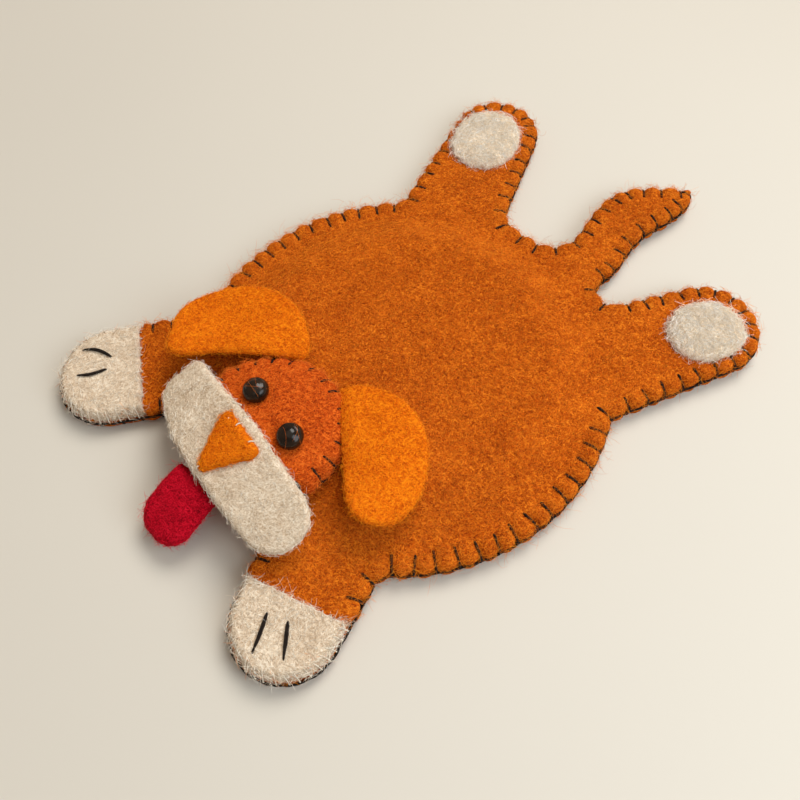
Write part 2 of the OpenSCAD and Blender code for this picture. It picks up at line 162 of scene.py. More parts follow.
def limb_end(i):
    if i != TAIL:
        a = DIRECTION[i]
        return arc(TIP[i], TIP_R[i], a - 90 + TAPER[i], a + 90 - TAPER[i]) + [
            TIP[i] + TIP_R[i] * unit(a + 90 - TAPER[i])]
    root = notch(TAIL, 1)[1]
    t = [math.sin(math.pi / 2 * k / 90) for k in range(91)]
    ys = [root + (TAIL_END - root) * k for k in t]
    return [tail_side(y, 1, root) for y in ys] + [tail_side(y, -1, root) for y in ys[-2:0:-1]]


def outline():
    points = []
    for i in range(5):
        a, k, j = DIRECTION[i], TAPER[i], (i + 1) % 5
        q, r = notch(i, -1), notch(i, 1)
        start, stop = (270, 180) if i == TAIL else (polar(q, a) + 180, a + 90 + k)
        points += arc(q, NOTCH_R[i], start, stop)
        points += limb_end(i)
        last = polar(r, a) + 180 if i != LEFT_LEG else 270
        points += arc(r, NOTCH_R[j], a + 270 - k, last)
        if i != LEFT_LEG:
            a0, a1 = polar(r, a), polar(notch(j, -1), DIRECTION[j])
            points += arc(np.zeros(2), BODY_R, a0, a1 + 360 if a1 < a0 else a1)
    return np.array(points)


def resample(points, step, closed=True):
    """Even steps along a line: the points and their distance along it."""
    p = np.vstack([points, points[:1]]) if closed else np.asarray(points)
    d = np.r_[0, np.cumsum(np.linalg.norm(np.diff(p, axis=0), axis=1))]
    n = max(2, int(round(d[-1] / step)))
    s = np.linspace(0, d[-1], n + 1)[: n if closed else n + 1]
    return np.stack([np.interp(s, d, p[:, k]) for k in range(p.shape[1])], 1), s, d[-1]


RIM, RIM_S, RIM_LEN = resample(outline(), 0.45)
rim_way = np.roll(RIM, -1, 0) - np.roll(RIM, 1, 0)
RIM_N = np.stack([rim_way[:, 1], -rim_way[:, 0]], 1) / np.linalg.norm(rim_way, axis=1)[:, None]
PITCH = RIM_LEN / STITCHES


def on_rim(s):
    """Point and outward direction at distance s along the rim."""
    s = np.asarray(s, float) % RIM_LEN
    x = np.r_[RIM_S, RIM_LEN]
    look = lambda v: np.stack([np.interp(s, x, np.r_[v[:, k], v[0, k]]) for k in (0, 1)], -1)
    n = look(RIM_N)
    return look(RIM), n / np.linalg.norm(n, axis=-1, keepdims=True)


def place_on(xy, line, line_s):
    """Distance from a closed outline of short steps, and distance along it. line_s says how
    far along each of its points is."""
    d, s = np.empty(len(xy)), np.empty(len(xy))
    seg = np.roll(line, -1, 0) - line
    long = np.linalg.norm(seg, axis=1)
    for k in range(0, len(xy), CHUNK):
        p = xy[k:k + CHUNK]
        near = ((p[:, None, :] - line[None]) ** 2).sum(2).argmin(1)
        best, at = np.full(len(p), np.inf), np.zeros(len(p))
        for j in ((near - 1) % len(line), near):
            t = np.clip(((p - line[j]) * seg[j]).sum(1) / long[j] ** 2, 0, 1)
            q = np.linalg.norm(p - line[j] - t[:, None] * seg[j], axis=1)
            at = np.where(q < best, line_s[j] + t * long[j], at)
            best = np.minimum(best, q)
        d[k:k + CHUNK], s[k:k + CHUNK] = best, at
    return d, s


def within(xy, line):
    """True for points inside a closed outline."""
    hit = np.zeros(len(xy), bool)
    a, b = line, np.roll(line, -1, 0)
    rise = np.where(a[:, 1] == b[:, 1], 1e-9, b[:, 1] - a[:, 1])
    for k in range(0, len(xy), CHUNK):
        px, py = xy[k:k + CHUNK, :1], xy[k:k + CHUNK, 1:]
        cross = (a[:, 1] > py) != (b[:, 1] > py)
        at = a[:, 0] + (py - a[:, 1]) * (b[:, 0] - a[:, 0]) / rise
        hit[k:k + CHUNK] = (cross & (px < at)).sum(1) % 2 == 1
    return hit


def rim_place(xy):
    return place_on(xy, RIM, RIM_S)


def inside(xy):
    return within(xy, RIM)


# ---- Hinges, and the lines where the felt is cut into pieces

JOINTS = {j["child"]: j for j in frame["joints"]}
BLEND = 5.2       # the felt is cut into pieces this far before the hinge
FLAPS = ("left_ear", "right_ear", "tongue")


def hinge(body):
    j = JOINTS[body]
    axis = np.array(j["axis"])
    return np.array(j["pos_m"]) / MM, np.array([-axis[1], axis[0]])


def beyond(xy, i):
    """True for points of limb i, past the line where its felt is cut off as a piece of its own."""
    pos, out = hinge(LIMBS[i])
    a = np.degrees(np.arctan2(xy[:, 1], xy[:, 0]))
    lo, hi = SECTOR[i]
    a = (a - (lo + hi) / 2 + 180) % 360 - 180 + (lo + hi) / 2
    return ((xy - pos[:2]) @ out > -BLEND) & (a > lo) & (a < hi)


def limb_of(xy):
    xy = np.atleast_2d(xy)
    found = np.full(len(xy), -1)
    for i in range(5):
        found[beyond(xy, i)] = i
    return found


def attach(piece, body):
    """A limb, an ear, the tongue and the neck's stitches stay fixed in the world; the rest rides on one
    body.
    """
    if body == "neck":
        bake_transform(piece)
    elif body in LIMBS or body in FLAPS:
        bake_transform(piece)
    else:
        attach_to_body(piece, body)


# ---- Materials


def srgb(r, g, b):
    lin = lambda c: c / 12.92 if c <= 0.04045 else ((c + 0.055) / 1.055) ** 2.4
    return tuple(lin(c / 255) for c in (r, g, b)) + (1.0,)


class Nodes:
    """Short ways to add and join shader nodes."""

    def __init__(self, name):
        self.mat = bpy.data.materials.new(name)
        self.mat.use_nodes = True
        self.tree = self.mat.node_tree
        self.shader = self.tree.nodes["Principled BSDF"]
        self.place = self.add("ShaderNodeTexCoord").outputs["Object"]

    def add(self, kind, **values):
        n = self.tree.nodes.new(kind)
        for key, value in values.items():
            if hasattr(n, key):
                setattr(n, key, value)
            else:
                n.inputs[key.replace("_", " ")].default_value = value
        return n

    def link(self, a, b):
        self.tree.links.new(a, b)

    def noise(self, scale, detail=4.0, stretch=None, turn=0.0, seed=0.0, distortion=0.0):
        n = self.add("ShaderNodeTexNoise", Scale=scale, Detail=detail, Distortion=distortion)
        n.noise_dimensions = "4D"
        n.inputs["W"].default_value = seed
        m = self.add("ShaderNodeMapping")
        m.vector_type = "TEXTURE"
        m.inputs["Rotation"].default_value = (0.3 * turn, 0.2 * turn, turn)
        m.inputs["Scale"].default_value = [1 / v for v in stretch or (1, 1, 1)]
        self.link(self.place, m.inputs["Vector"])
        self.link(m.outputs["Vector"], n.inputs["Vector"])
        return n.outputs["Fac"]

    def math(self, op, a, b=None, clamp=False):
        n = self.add("ShaderNodeMath", operation=op)
        n.use_clamp = clamp
        for k, v in enumerate((a, b)):
            if isinstance(v, (int, float)):
                n.inputs[k].default_value = v
            elif v is not None:
                self.link(v, n.inputs[k])
        return n.outputs[0]

    def colour(self, fac, stops):
        n = self.add("ShaderNodeValToRGB")
        while len(n.color_ramp.elements) < len(stops):
            n.color_ramp.elements.new(0.5)
        for e, (at, colour) in zip(n.color_ramp.elements, stops):
            e.position, e.color = at, colour
        self.link(fac, n.inputs["Fac"])
        self.link(n.outputs["Color"], self.shader.inputs["Base Color"])

    def bump(self, height, strength, distance):
        n = self.add("ShaderNodeBump", Strength=strength, Distance=distance)
        self.link(height, n.inputs["Height"])
        self.link(n.outputs["Normal"], self.shader.inputs["Normal"])

    def set(self, **values):
        for key, value in values.items():
            self.shader.inputs[key.replace("_", " ")].default_value = value


def felt(name, dark, mid, light, nap=0.7, fibre=2500.0):
    """Needle-punched felt: matted fibres that run every way, with clouds of darker wool."""
    m = Nodes(name)
    strands = None
    for k, turn in enumerate((0.2, 0.95, 1.75, 2.6)):
        one = m.noise(fibre, 1.0, stretch=(0.22, 1.25, 0.6), turn=turn, seed=k, distortion=1.3)
        strands = one if strands is None else m.math("MAXIMUM", strands, one)
    clouds = m.noise(110.0, 2.0, seed=7)
    tufts = m.noise(480.0, 3.0, seed=8)
    fac = m.math("ADD", m.math("MULTIPLY", strands, 2.1), m.math("MULTIPLY", clouds, 0.3))
    fac = m.math("ADD", fac, m.math("MULTIPLY", tufts, 0.14))
    fac = m.math("MULTIPLY", m.math("SUBTRACT", fac, 1.22), 2.05, clamp=True)
    m.colour(fac, [(0.0, dark), (0.5, mid), (1.0, light)])
    height = m.math("ADD", strands, m.math("MULTIPLY", tufts, 0.1))
    m.bump(height, nap, 0.0004)
    m.link(m.math("ADD", m.math("MULTIPLY", tufts, 0.1), 0.86), m.shader.inputs["Roughness"])
    m.set(Sheen_Weight=0.06, Sheen_Roughness=0.6, Specular_IOR_Level=0.08)
    m.shader.inputs["Sheen Tint"].default_value = light
    return m.mat


def wisps(name, dark, mid, light):
    """Single loose fibres, each a little lighter or darker than the next."""
    m = Nodes(name)
    each = m.add("ShaderNodeNewGeometry").outputs["Random Per Island"]
    fac = m.math("ADD", m.math("MULTIPLY", each, 0.75), m.math("MULTIPLY", m.noise(300.0), 0.3))
    m.colour(fac, [(0.05, dark), (0.5, mid), (0.95, light)])
    m.bump(m.noise(4000.0), 0.2, 0.0001)
    m.set(Roughness=0.8, Sheen_Weight=0.04, Specular_IOR_Level=0.08)
    return m.mat


def thread(name, dark, light):
    """Twisted cotton thread."""
    m = Nodes(name)
    ply = m.noise(1800.0, 2.0, stretch=(1, 1, 2.5), turn=0.6, seed=3)
    m.colour(ply, [(0.3, dark), (0.75, light)])
    m.bump(ply, 0.5, 0.0002)
    m.set(Roughness=0.7, Sheen_Weight=0.03, Specular_IOR_Level=0.15)
    return m.mat


def bead(name):
    """A glossy round bead, almost black, with a little brown in it and fine scuffs."""
    m = Nodes(name)
    m.colour(m.noise(420.0, 3.0, seed=2), [(0.3, srgb(14, 9, 6)), (0.75, srgb(50, 33, 19))])
    scuff = m.noise(900.0, 4.0, seed=5)
    m.link(m.math("ADD", m.math("MULTIPLY", scuff, 0.2), 0.1), m.shader.inputs["Roughness"])
    m.bump(scuff, 0.12, 0.0001)
    m.set(Specular_IOR_Level=0.3)
    return m.mat


def plain_floor(name):
    m = Nodes(name)
    m.colour(m.noise(4.0, 2.0, seed=1), [(0.3, srgb(209, 203, 192)), (0.7, srgb(213, 207, 196))])
    m.bump(m.noise(700.0, 3.0), 0.03, 0.0003)
    m.set(Roughness=0.62, Specular_IOR_Level=0.3)
    return m.mat


def pale(colour):
    """A brighter colour, for the wool's lightest fibres."""
    return tuple(min(0.92, 1.35 * c) for c in colour[:3]) + (1.0,)


# Each felt's dark, middle and light colour.
TONES = {
    "orange_felt": ((122, 39, 2), (187, 84, 7), (232, 133, 32)),
    "rust_felt": ((120, 34, 3), (192, 74, 12), (230, 116, 36)),
    "bright_orange_felt": ((164, 62, 2), (218, 105, 5), (240, 138, 18)),
    "white_felt": ((180, 154, 126), (213, 192, 166), (242, 228, 208)),
    "pad_wool": ((204, 180, 149), (240, 220, 191), (254, 245, 231)),
    "red_felt": ((112, 1, 14), (182, 4, 30), (214, 22, 48)),
}
NAP = {"white_felt": 0.3, "bright_orange_felt": 0.3}
LOOK = {}
for tone, colours in TONES.items():
    dark, mid, light = (srgb(*c) for c in colours)
    LOOK[tone] = felt(tone, dark, mid, light, nap=NAP.get(tone, 0.5))
    LOOK[tone + "_fibres"] = wisps(tone + "_fibres", mid, light, pale(light))
LOOK["black_thread"] = thread("black_thread", srgb(12, 8, 5), srgb(40, 28, 20))
LOOK["white_thread"] = thread("white_thread", srgb(204, 190, 170), srgb(238, 228, 212))
LOOK["bead"] = bead("bead")

# ---- Mesh helpers

MADE = {}         # each piece's look and body


def make_piece(name, verts, faces, look, body, *nodes, smooth=True, sharp=()):
    """A piece from millimetres, on its body, in place of its CAD nodes."""
    mesh = bpy.data.meshes.new(name)
    verts = np.array(verts, float)
    verts[:, 2] = np.maximum(verts[:, 2], TABLE_GAP)
    mesh.from_pydata((verts * MM).tolist(), [], faces)
    mesh.validate()
    mesh.polygons.foreach_set("use_smooth", [smooth] * len(mesh.polygons))
    mesh.materials.append(LOOK[look])
    mesh.update()
    for e in mesh.edges if sharp else ():
        if frozenset(e.vertices) in sharp:
            e.use_edge_sharp = True
    piece = bpy.data.objects.new(name, mesh)
    bpy.context.scene.collection.objects.link(piece)
    MADE[name] = look, body
    attach(piece, body)
    if nodes:
        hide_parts(*nodes)
    return piece


def smoothstep(t):
    t = np.clip(t, 0, 1)
    return t * t * (3 - 2 * t)


def rough(points, scale, seed=0.0):
    """Soft random height for each point, about -1 to 1."""
    shift = Vector((seed, 2.7 * seed, -seed))
    return np.array([noise.noise(Vector((x, y, 0.0)) * scale + shift) for x, y in points[:, :2]])


def corner_cross(v):
    """Cross product of two sides of each triangle: its normal, times twice its area."""
    return np.cross(v[:, 1] - v[:, 0], v[:, 2] - v[:, 0])


def lattice(lo, hi, gap):
    """Points in even triangles over a rectangle."""
    gx, gy = np.meshgrid(np.arange(lo[0], hi[0], gap), np.arange(lo[1], hi[1], gap * 0.866))
    gx = gx + (np.arange(gx.shape[0]) % 2)[:, None] * gap / 2
    return np.stack([gx.ravel(), gy.ravel()], 1)


def fill(points, edges, line):
    """Triangles that fill an outline, all wound the same way."""
    mesh = geometry.delaunay_2d_cdt([Vector(p) for p in np.vstack(points)], edges, [], 0, 1e-5)
    xy, tris = np.array([tuple(v) for v in mesh[0]]), np.array(mesh[2])
    tris = tris[within(xy[tris].mean(1), line)]
    flip = corner_cross(xy[tris]) < 0
    tris[flip] = tris[flip][:, ::-1]
    return xy, tris


def sheet_mesh(tris, bottom, top, shared):
    """A closed sheet: the two faces share the vertices marked in shared, and a wall joins the
    rest of the border. Returns vertices, faces and the edges of the walls."""
    used = np.unique(tris)
    n = len(used)
    index = np.full(len(top), -1)
    index[used] = np.arange(n)
    t = index[tris]
    shared = shared[used]
    low = np.where(shared, np.arange(n), np.arange(n) + n)
    verts = np.vstack([top[used], bottom[used]])
    faces = [tuple(f) for f in t.tolist()] + [tuple(f) for f in low[t][:, ::-1].tolist()]
    sides = {(a, b) for a, b in np.vstack([t[:, [0, 1]], t[:, [1, 2]], t[:, [2, 0]]]).tolist()}
    wall = [(a, b) for a, b in sides if (b, a) not in sides and not (shared[a] and shared[b])]
    for a, b in wall:
        faces.append(tuple(dict.fromkeys([a, int(low[a]), int(low[b]), b])))
    kept = np.unique(np.array([i for f in faces for i in f]))
    new = np.full(len(verts), -1)
    new[kept] = np.arange(len(kept))
    faces = [tuple(int(new[i]) for i in f) for f in faces]
    edges = {frozenset((int(new[a]), int(new[b]))) for a, b in wall} | {
        frozenset((int(new[low[a]]), int(new[low[b]]))) for a, b in wall}
    return verts[kept], faces, edges


CUTS = {}         # each sheet and pad: its piece, body, flat size and area


def felt_piece(name, xy, tris, low, top, shared, look, body, *nodes, area=None, sharp=False):
    """A closed piece of felt between two faces."""
    verts, faces, edges = sheet_mesh(tris, low, top, shared)
    piece = make_piece(name, verts, faces, look, body, *nodes, sharp=edges if sharp else ())
    if area:
        CUTS[name] = piece, body, np.ptp(xy[np.unique(tris)], axis=0) * MM, area * MM * MM
    return piece


def tube(rings, sides, start=0):
    """Faces that wrap a row of rings, whose points are numbered from start."""
    quads = []
    for a in range(start, start + (rings - 1) * sides, sides):
        for k in range(sides):
            m = (k + 1) % sides
            quads.append((a + k, a + m, a + sides + m, a + sides + k))
    return quads


def smooth_path(path, n=1):
    q = np.array(path, float)
    for _ in range(n):
        q[1:-1] = 0.25 * q[:-2] + 0.5 * q[1:-1] + 0.25 * q[2:]
    return q


class Strands:
    """Collects threads, each a twisted two-ply strand along a path."""

    def __init__(self):
        self.verts, self.faces, self.count = [], [], 0

    def add(self, path, radius=THREAD_R, step=0.4, sides=8, twist=1.6):
        p, s, _ = resample(np.asarray(path, float), step, closed=False)
        tangent = np.gradient(p, axis=0)
        tangent /= np.linalg.norm(tangent, axis=1)[:, None]
        ref = np.array([0, 0, 1.0]) if abs(tangent[:, 2]).mean() < 0.8 else np.array([1.0, 0, 0])
        side = np.cross(tangent, ref)
        for k in range(1, len(side)):
            side[k] = side[k] if side[k] @ side[k - 1] >= 0 else -side[k]
        side /= np.maximum(np.linalg.norm(side, axis=1), 1e-6)[:, None]
        up = np.cross(side, tangent)
        a = np.linspace(0, 2 * np.pi, sides, endpoint=False)[None, :]
        r = radius * (0.78 + 0.22 * np.abs(np.cos(a - (s * twist)[:, None])) ** 0.8)
        r[[0, -1]] *= 0.6
        ring = p[:, None, :] + (r * np.cos(a))[..., None] * side[:, None, :] + (
            r * np.sin(a))[..., None] * up[:, None, :]
        self.verts.append(ring.reshape(-1, 3))
        self.faces += tube(len(p), sides, self.count)
        self.faces.append(tuple(self.count + k for k in range(sides))[::-1])
        self.count += len(p) * sides
        self.faces.append(tuple(self.count - sides + k for k in range(sides)))

    def sew(self, start, p, z, *ends, **style):
        """A stitch: up out of the felt, over the places p at heights z, and down at the ends."""
        self.add(smooth_path([start, *np.column_stack([p, z]), *ends]), **style)

    def piece(self, name, look, body, *nodes):
        make_piece(name, np.vstack(self.verts), self.faces, look, body, *nodes)


def fibres(name, on, count, where, length=(1.5, 4.2), lift=(0.05, 0.35), curl=1.1, width=0.044,
           segments=2, stand=0.12):
    """Loose fibres on a piece's surface, as thin closed prisms. where weights the faces."""
    mesh = bpy.data.objects[on].data
    mesh.calc_loop_triangles()
    nt = len(mesh.loop_triangles)
    tri = np.empty(nt * 3, int)
    mesh.loop_triangles.foreach_get("vertices", tri)
    co = np.empty(len(mesh.vertices) * 3)
    mesh.vertices.foreach_get("co", co)
    v = (co.reshape(-1, 3) / MM)[tri.reshape(-1, 3)]
    cross = corner_cross(v)
    area = np.linalg.norm(cross, axis=1)
    normal = cross / np.maximum(area, 1e-9)[:, None]
    weight = area * where(v.mean(1), normal)
    pick = rng.choice(nt, count, p=weight / weight.sum())
    u = rng.random((count, 2))
    u = np.where(u.sum(1, keepdims=True) > 1, 1 - u, u)
    root = v[pick, 0] + u[:, :1] * (v[pick, 1] - v[pick, 0]) + u[:, 1:] * (v[pick, 2] - v[pick, 0])
    n = normal[pick]
    any_way = rng.normal(size=(count, 3))
    t = any_way - (any_way * n).sum(1, keepdims=True) * n
    t /= np.linalg.norm(t, axis=1)[:, None]
    b = np.cross(n, t)
    size = rng.uniform(*length, (count, 1)) * rng.uniform(0.5, 1.0, (count, 1))
    bend = rng.normal(0, curl, (count, 1))
    high = rng.uniform(*lift, (count, 1)) + stand * rng.random((count, 1)) ** 4 * size
    corners = []
    for k in range(segments + 1):
        f = k / segments
        heading = bend * f * 1.4
        centre = root + size * f * (np.cos(heading) * t + np.sin(heading) * b) + n * (
            -0.06 + high * math.sin(math.pi * min(f * 0.62 + 0.02, 1)))
        w = width * (1.0 if 0 < k < segments else 0.55)
        across = np.cos(heading) * b - np.sin(heading) * t
        for j in range(3):
            a = 2 * math.pi * j / 3 + math.pi / 2
            corners.append(centre + w * (math.cos(a) * across + math.sin(a) * n))
    per = len(corners)
    start = np.arange(count) * per
    faces = []
    for f in [(0, 2, 1), (per - 3, per - 2, per - 1), *tube(segments + 1, 3)]:
        faces += (start[:, None] + np.array(f)[None]).tolist()
    tone, body = MADE[on]
    return make_piece(name, np.stack(corners, 1).reshape(-1, 3), faces, tone + "_fibres", body,
                      smooth=False)


# ---- The grid of the body's felt

SLIT = node_box("hand_slit_stitch")
SLIT_Y = (SLIT[LOW][1] + SLIT[HIGH][1]) / 2
SLIT_R = (SLIT[HIGH][1] - SLIT[LOW][1]) / 2 + 0.1
SLIT_HALF = 27.0
PAW_REACH = 24.0                              # a paw lies within this distance of its tip's middle
RINGS = (0.22, 0.55, 0.95, 1.5, 2.2, 3.1, 4.2)


def slit_distance(xy):
    """Distance outside the slit's edge; negative inside the slit."""
    x = np.maximum(np.abs(xy[:, 0]) - SLIT_HALF, 0)
    return np.hypot(x, xy[:, 1] - SLIT_Y) - SLIT_R


def paw_distance(xy, i):
    """How far points lie on the paw's side of the cover's straight edge."""
    return (xy - TIP[i]) @ unit(DIRECTION[i]) + PAW_LINE[i]


def near_paw(xy, i, start):
    return (paw_distance(xy, i) > start) & (np.hypot(*(xy - TIP[i]).T) < PAW_REACH)


def on_paw(xy):
    return np.any([near_paw(xy, i, -0.8) for i in PAW_LINE], axis=0)


def paw_line(i, t, ahead=0.0):
    """Places on the cover's straight edge, t to the side, or the same line moved ahead."""
    along, side = unit(DIRECTION[i]), unit(DIRECTION[i] + 90)
    return TIP[i] - PAW_LINE[i] * along + ahead * along + np.multiply.outer(t, side)


def slit_loop():
    """The slit's edge: a round end, a straight side, a round end and a straight side."""
    n = int(2 * SLIT_HALF / 0.7)
    t = np.linspace(-np.pi / 2, np.pi / 2, 48)
    end = np.stack([SLIT_HALF + SLIT_R * np.cos(t), SLIT_Y + SLIT_R * np.sin(t)], 1)
    x = np.linspace(SLIT_HALF, -SLIT_HALF, n)[1:-1]
    far, near = (np.stack([k * x, np.full(n - 2, SLIT_Y + k * SLIT_R)], 1) for k in (1, -1))
    return np.vstack([end, far, end[::-1] * [-1, 1], near])


def body_grid():
    points, edges = [], []

    def add(p, chain=False, closed=False):
        start = sum(len(q) for q in points)
        points.append(p)
        if chain:
            edges.extend((start + k, start + k + 1) for k in range(len(p) - 1))
        if closed:
            edges.append((start + len(p) - 1, start))

    add(RIM, chain=True, closed=True)
    for d in RINGS:
        p = RIM - d * RIM_N
        add(p[(rim_place(p)[0] > 0.985 * d) & inside(p)][:: 1 if d < 2 else 2])
    loop = slit_loop()
    add(loop, chain=True, closed=True)
    mid = np.stack([np.clip(loop[:, 0], -SLIT_HALF, SLIT_HALF), np.full(len(loop), SLIT_Y)], 1)
    out = (loop - mid) / np.linalg.norm(loop - mid, axis=1)[:, None]
    for d in RINGS[:6]:
        add(loop + d * out)
    for i in range(5):
        pos, out = hinge(LIMBS[i])
        p = pos[:2] - BLEND * out + np.linspace(-26, 26, 90)[:, None] * [-out[1], out[0]]
        p = p[inside(p)]
        add(p[(rim_place(p)[0] > 0.3) & (limb_of(p + 0.01 * out) == i)], chain=True)
        for ahead in (0, 0.3, 0.7, 1.2, 1.8) if i in PAW_LINE else ():
            q = paw_line(i, np.linspace(-17, 17, 70), ahead)
            q = q[inside(q)]
            add(q[rim_place(q)[0] > 0.3], chain=ahead == 0)
    g = lattice((-70, -82), (70, 108), 1.5)
    g = g[inside(g)]
    g += rng.uniform(-0.25, 0.25, g.shape)
    far = (rim_place(g)[0] > RINGS[-1] + 0.6) & ~((slit_distance(g) > -1.0) & (slit_distance(g) < 3.6))
    for i in range(5):
        pos, out = hinge(LIMBS[i])
        far &= ~((np.abs((g - pos[:2]) @ out + BLEND) < 0.7) & (limb_of(g + 1.0 * out) == i))
        if i in PAW_LINE:
            far &= ~(near_paw(g, i, -0.6) & (paw_distance(g, i) < 2.3))
    add(g[far])
    return fill(points, edges, RIM)


XY, TRIS = body_grid()
D, S = rim_place(XY)
D[D < SNAP] = 0
TRI_MID = XY[TRIS].mean(1)
TRI_LIMB = limb_of(TRI_MID)
SLIT_D = slit_distance(XY)

# ---- Shape of the felt near a stitch


def inward(normals, lean):
    """Directions into the felt from the rim, each leaning aside by an angle in radians."""
    c, s = np.cos(lean), np.sin(lean)
    return -np.stack([normals[:, 0] * c - normals[:, 1] * s, normals[:, 0] * s + normals[:, 1] * c], 1)


STITCH_S = np.arange(STITCHES) * PITCH + rng.normal(0, 0.28, STITCHES)
STITCH_P, STITCH_N = on_rim(STITCH_S)
STITCH_IN = inward(STITCH_N, np.radians(rng.normal(0, 5, STITCHES)))
STITCH_LIMB = limb_of(STITCH_P - 0.3 * STITCH_N)
STITCH_L = STITCH_LEN * rng.uniform(0.86, 1.1, STITCHES)
STITCH_L *= np.where(STITCH_LIMB < 0, 1, 0.8)
STITCH_PAW = on_paw(STITCH_P)


def rim_gap(s, at):
    """Distance along the rim to the nearest of the places at."""
    return np.abs((s[:, None] - at[None] + RIM_LEN / 2) % RIM_LEN - RIM_LEN / 2).min(1)


def scallop(s):
    """How far the cut edge stands out, from 0 at a stitch to 1 in the middle of a lobe."""
    gap = np.clip(rim_gap(s, STITCH_S) / (PITCH / 2), 0, 1)
    return np.clip(1 - (1 - gap) ** 2, 0, 1) ** 0.7


def dents(xy, at, inward, length, width=0.85, depth=0.75):
    """Depth of the grooves that stitches press into the felt. at is where each one starts."""
    total = np.zeros(len(xy))
    for k in range(len(at)):
        r = xy - at[k]
        near = (np.abs(r[:, 0]) < 8) & (np.abs(r[:, 1]) < 8)
        q = r[near]
        w = q @ inward[k]
        u = q @ np.array([-inward[k][1], inward[k][0]])
        groove = depth * np.exp(-(u / width) ** 2) * (1 - smoothstep((w - length[k] + 0.8) / 1.4))
        hole = 0.35 * np.exp(-(u ** 2 + (w - length[k]) ** 2) / 0.3)
        total[near] = np.maximum(total[near], groove + hole)
    return total


LOBE = scallop(S)
# The edge stands out between the stitches, and is pulled in at each of them.
EDGE_MOVE = (LOBE * 1.6 - 1.1) * (1 - smoothstep(D / 2.6))
PAW_MASK = on_paw(XY)
EDGE_MOVE = np.where(PAW_MASK, (LOBE * 0.3 - 0.15) * (1 - smoothstep(D / 2.6)), EDGE_MOVE)
N_RIM = on_rim(S)[1]
MOVED = XY + EDGE_MOVE[:, None] * N_RIM
DENT = dents(XY, STITCH_P[~STITCH_PAW], STITCH_IN[~STITCH_PAW], STITCH_L[~STITCH_PAW])
PUFF = 0.38 * LOBE * np.exp(-((D - 2.0) / 1.6) ** 2)
SOFT = 0.1 * rough(XY, 0.16, 3) + 0.07 * rough(XY, 0.55, 5) + 0.03 * rough(XY, 1.7, 8)
CROWN_Z = CROWN * (1 - smoothstep((np.hypot(XY[:, 0], XY[:, 1]) - CROWN_FLAT) / CROWN_SLOPE))


def rounded(d, r):
    t = np.clip(d / r, 0, 1)
    return np.sqrt(np.clip(1 - (1 - t) ** 2, 0, 1))


def panel_layer(z0, z1, rim_lift, dent_top, dent_low, edge_d, lift):
    """Top and bottom of one felt layer between heights z0 and z1 at the rim."""
    mid = (z0 + z1) / 2 + 0.12 * (1 if z0 > 0 else -1)
    low = z0 + rim_lift * (1 - smoothstep(D / 5.5)) + lift
    high = z1 + lift
    q = rounded(edge_d, 1.45)
    top = mid + lift + (high - mid - lift) * q - dent_top * np.clip(edge_d / 0.8, 0.25, 1)
    bottom = mid + lift - (mid + lift - low) * rounded(edge_d, 1.0) + dent_low * np.clip(
        edge_d / 0.8, 0.2, 1)
    return top, np.minimum(bottom, top - 0.25 * np.clip(edge_d, 0, 1))


BACK_TOP, BACK_LOW = panel_layer(FELT_T, RIM_TOP, 0, DENT - PUFF, 0, D, CROWN_Z)
BACK_TOP = BACK_TOP + SOFT * np.clip(D / 1.5, 0, 1)
UNDER = np.where(SLIT_D > 0, np.minimum(D, SLIT_D), 0)
SLIT_RIM = np.abs(SLIT_D) < SNAP
slit_x = np.linspace(-SLIT_HALF, SLIT_HALF, 13)
SLIT_AT = np.array([[x, SLIT_Y + s * SLIT_R] for x in slit_x for s in (-1, 1)])
SLIT_IN = np.array([[0.0, s] for x in slit_x for s in (-1, 1)])
SLIT_DENT = dents(XY, SLIT_AT, SLIT_IN, np.full(len(SLIT_AT), 3.0), depth=0.3)
BELLY_TOP, BELLY_LOW = panel_layer(0, FELT_T, 0.95, 0, np.maximum(DENT * 0.5, SLIT_DENT), UNDER, 0)
BELLY_LOW = BELLY_LOW + 0.7 * (1 - smoothstep(np.abs(SLIT_D) / 4)) * (SLIT_D > 0)
BELLY_LOW = np.minimum(BELLY_LOW, BELLY_TOP - 0.3 * np.clip(UNDER, 0, 1))
BELLY_MOVE = MOVED + 0.12 * EDGE_MOVE[:, None] * N_RIM


def surface(xy, height):
    return np.column_stack([xy, height])


def height_map(points):
    """A function that gives the height at any place: a mean of the four nearest points."""
    tree = KDTree(len(points))
    for k, p in enumerate(points):
        tree.insert((p[0], p[1], 0), k)
    tree.balance()

    def height(places, values):
        found = []
        for x, y in places:
            near = tree.find_n((x, y, 0), 4)
            w = np.array([1 / (n[2] + 0.05) ** 2 for n in near])
            found.append(float((values[[n[1] for n in near]] * w).sum() / w.sum()))
        return np.array(found)

    return height


height_at = height_map(MOVED)


def body_of(limb):
    return "torso" if limb < 0 else LIMBS[limb]


def name_of(base, limb):
    return base if limb < 0 else base + "_" + LIMBS[limb]


def area_of(tris):
    return float(np.abs(corner_cross(XY[tris])).sum() / 2)


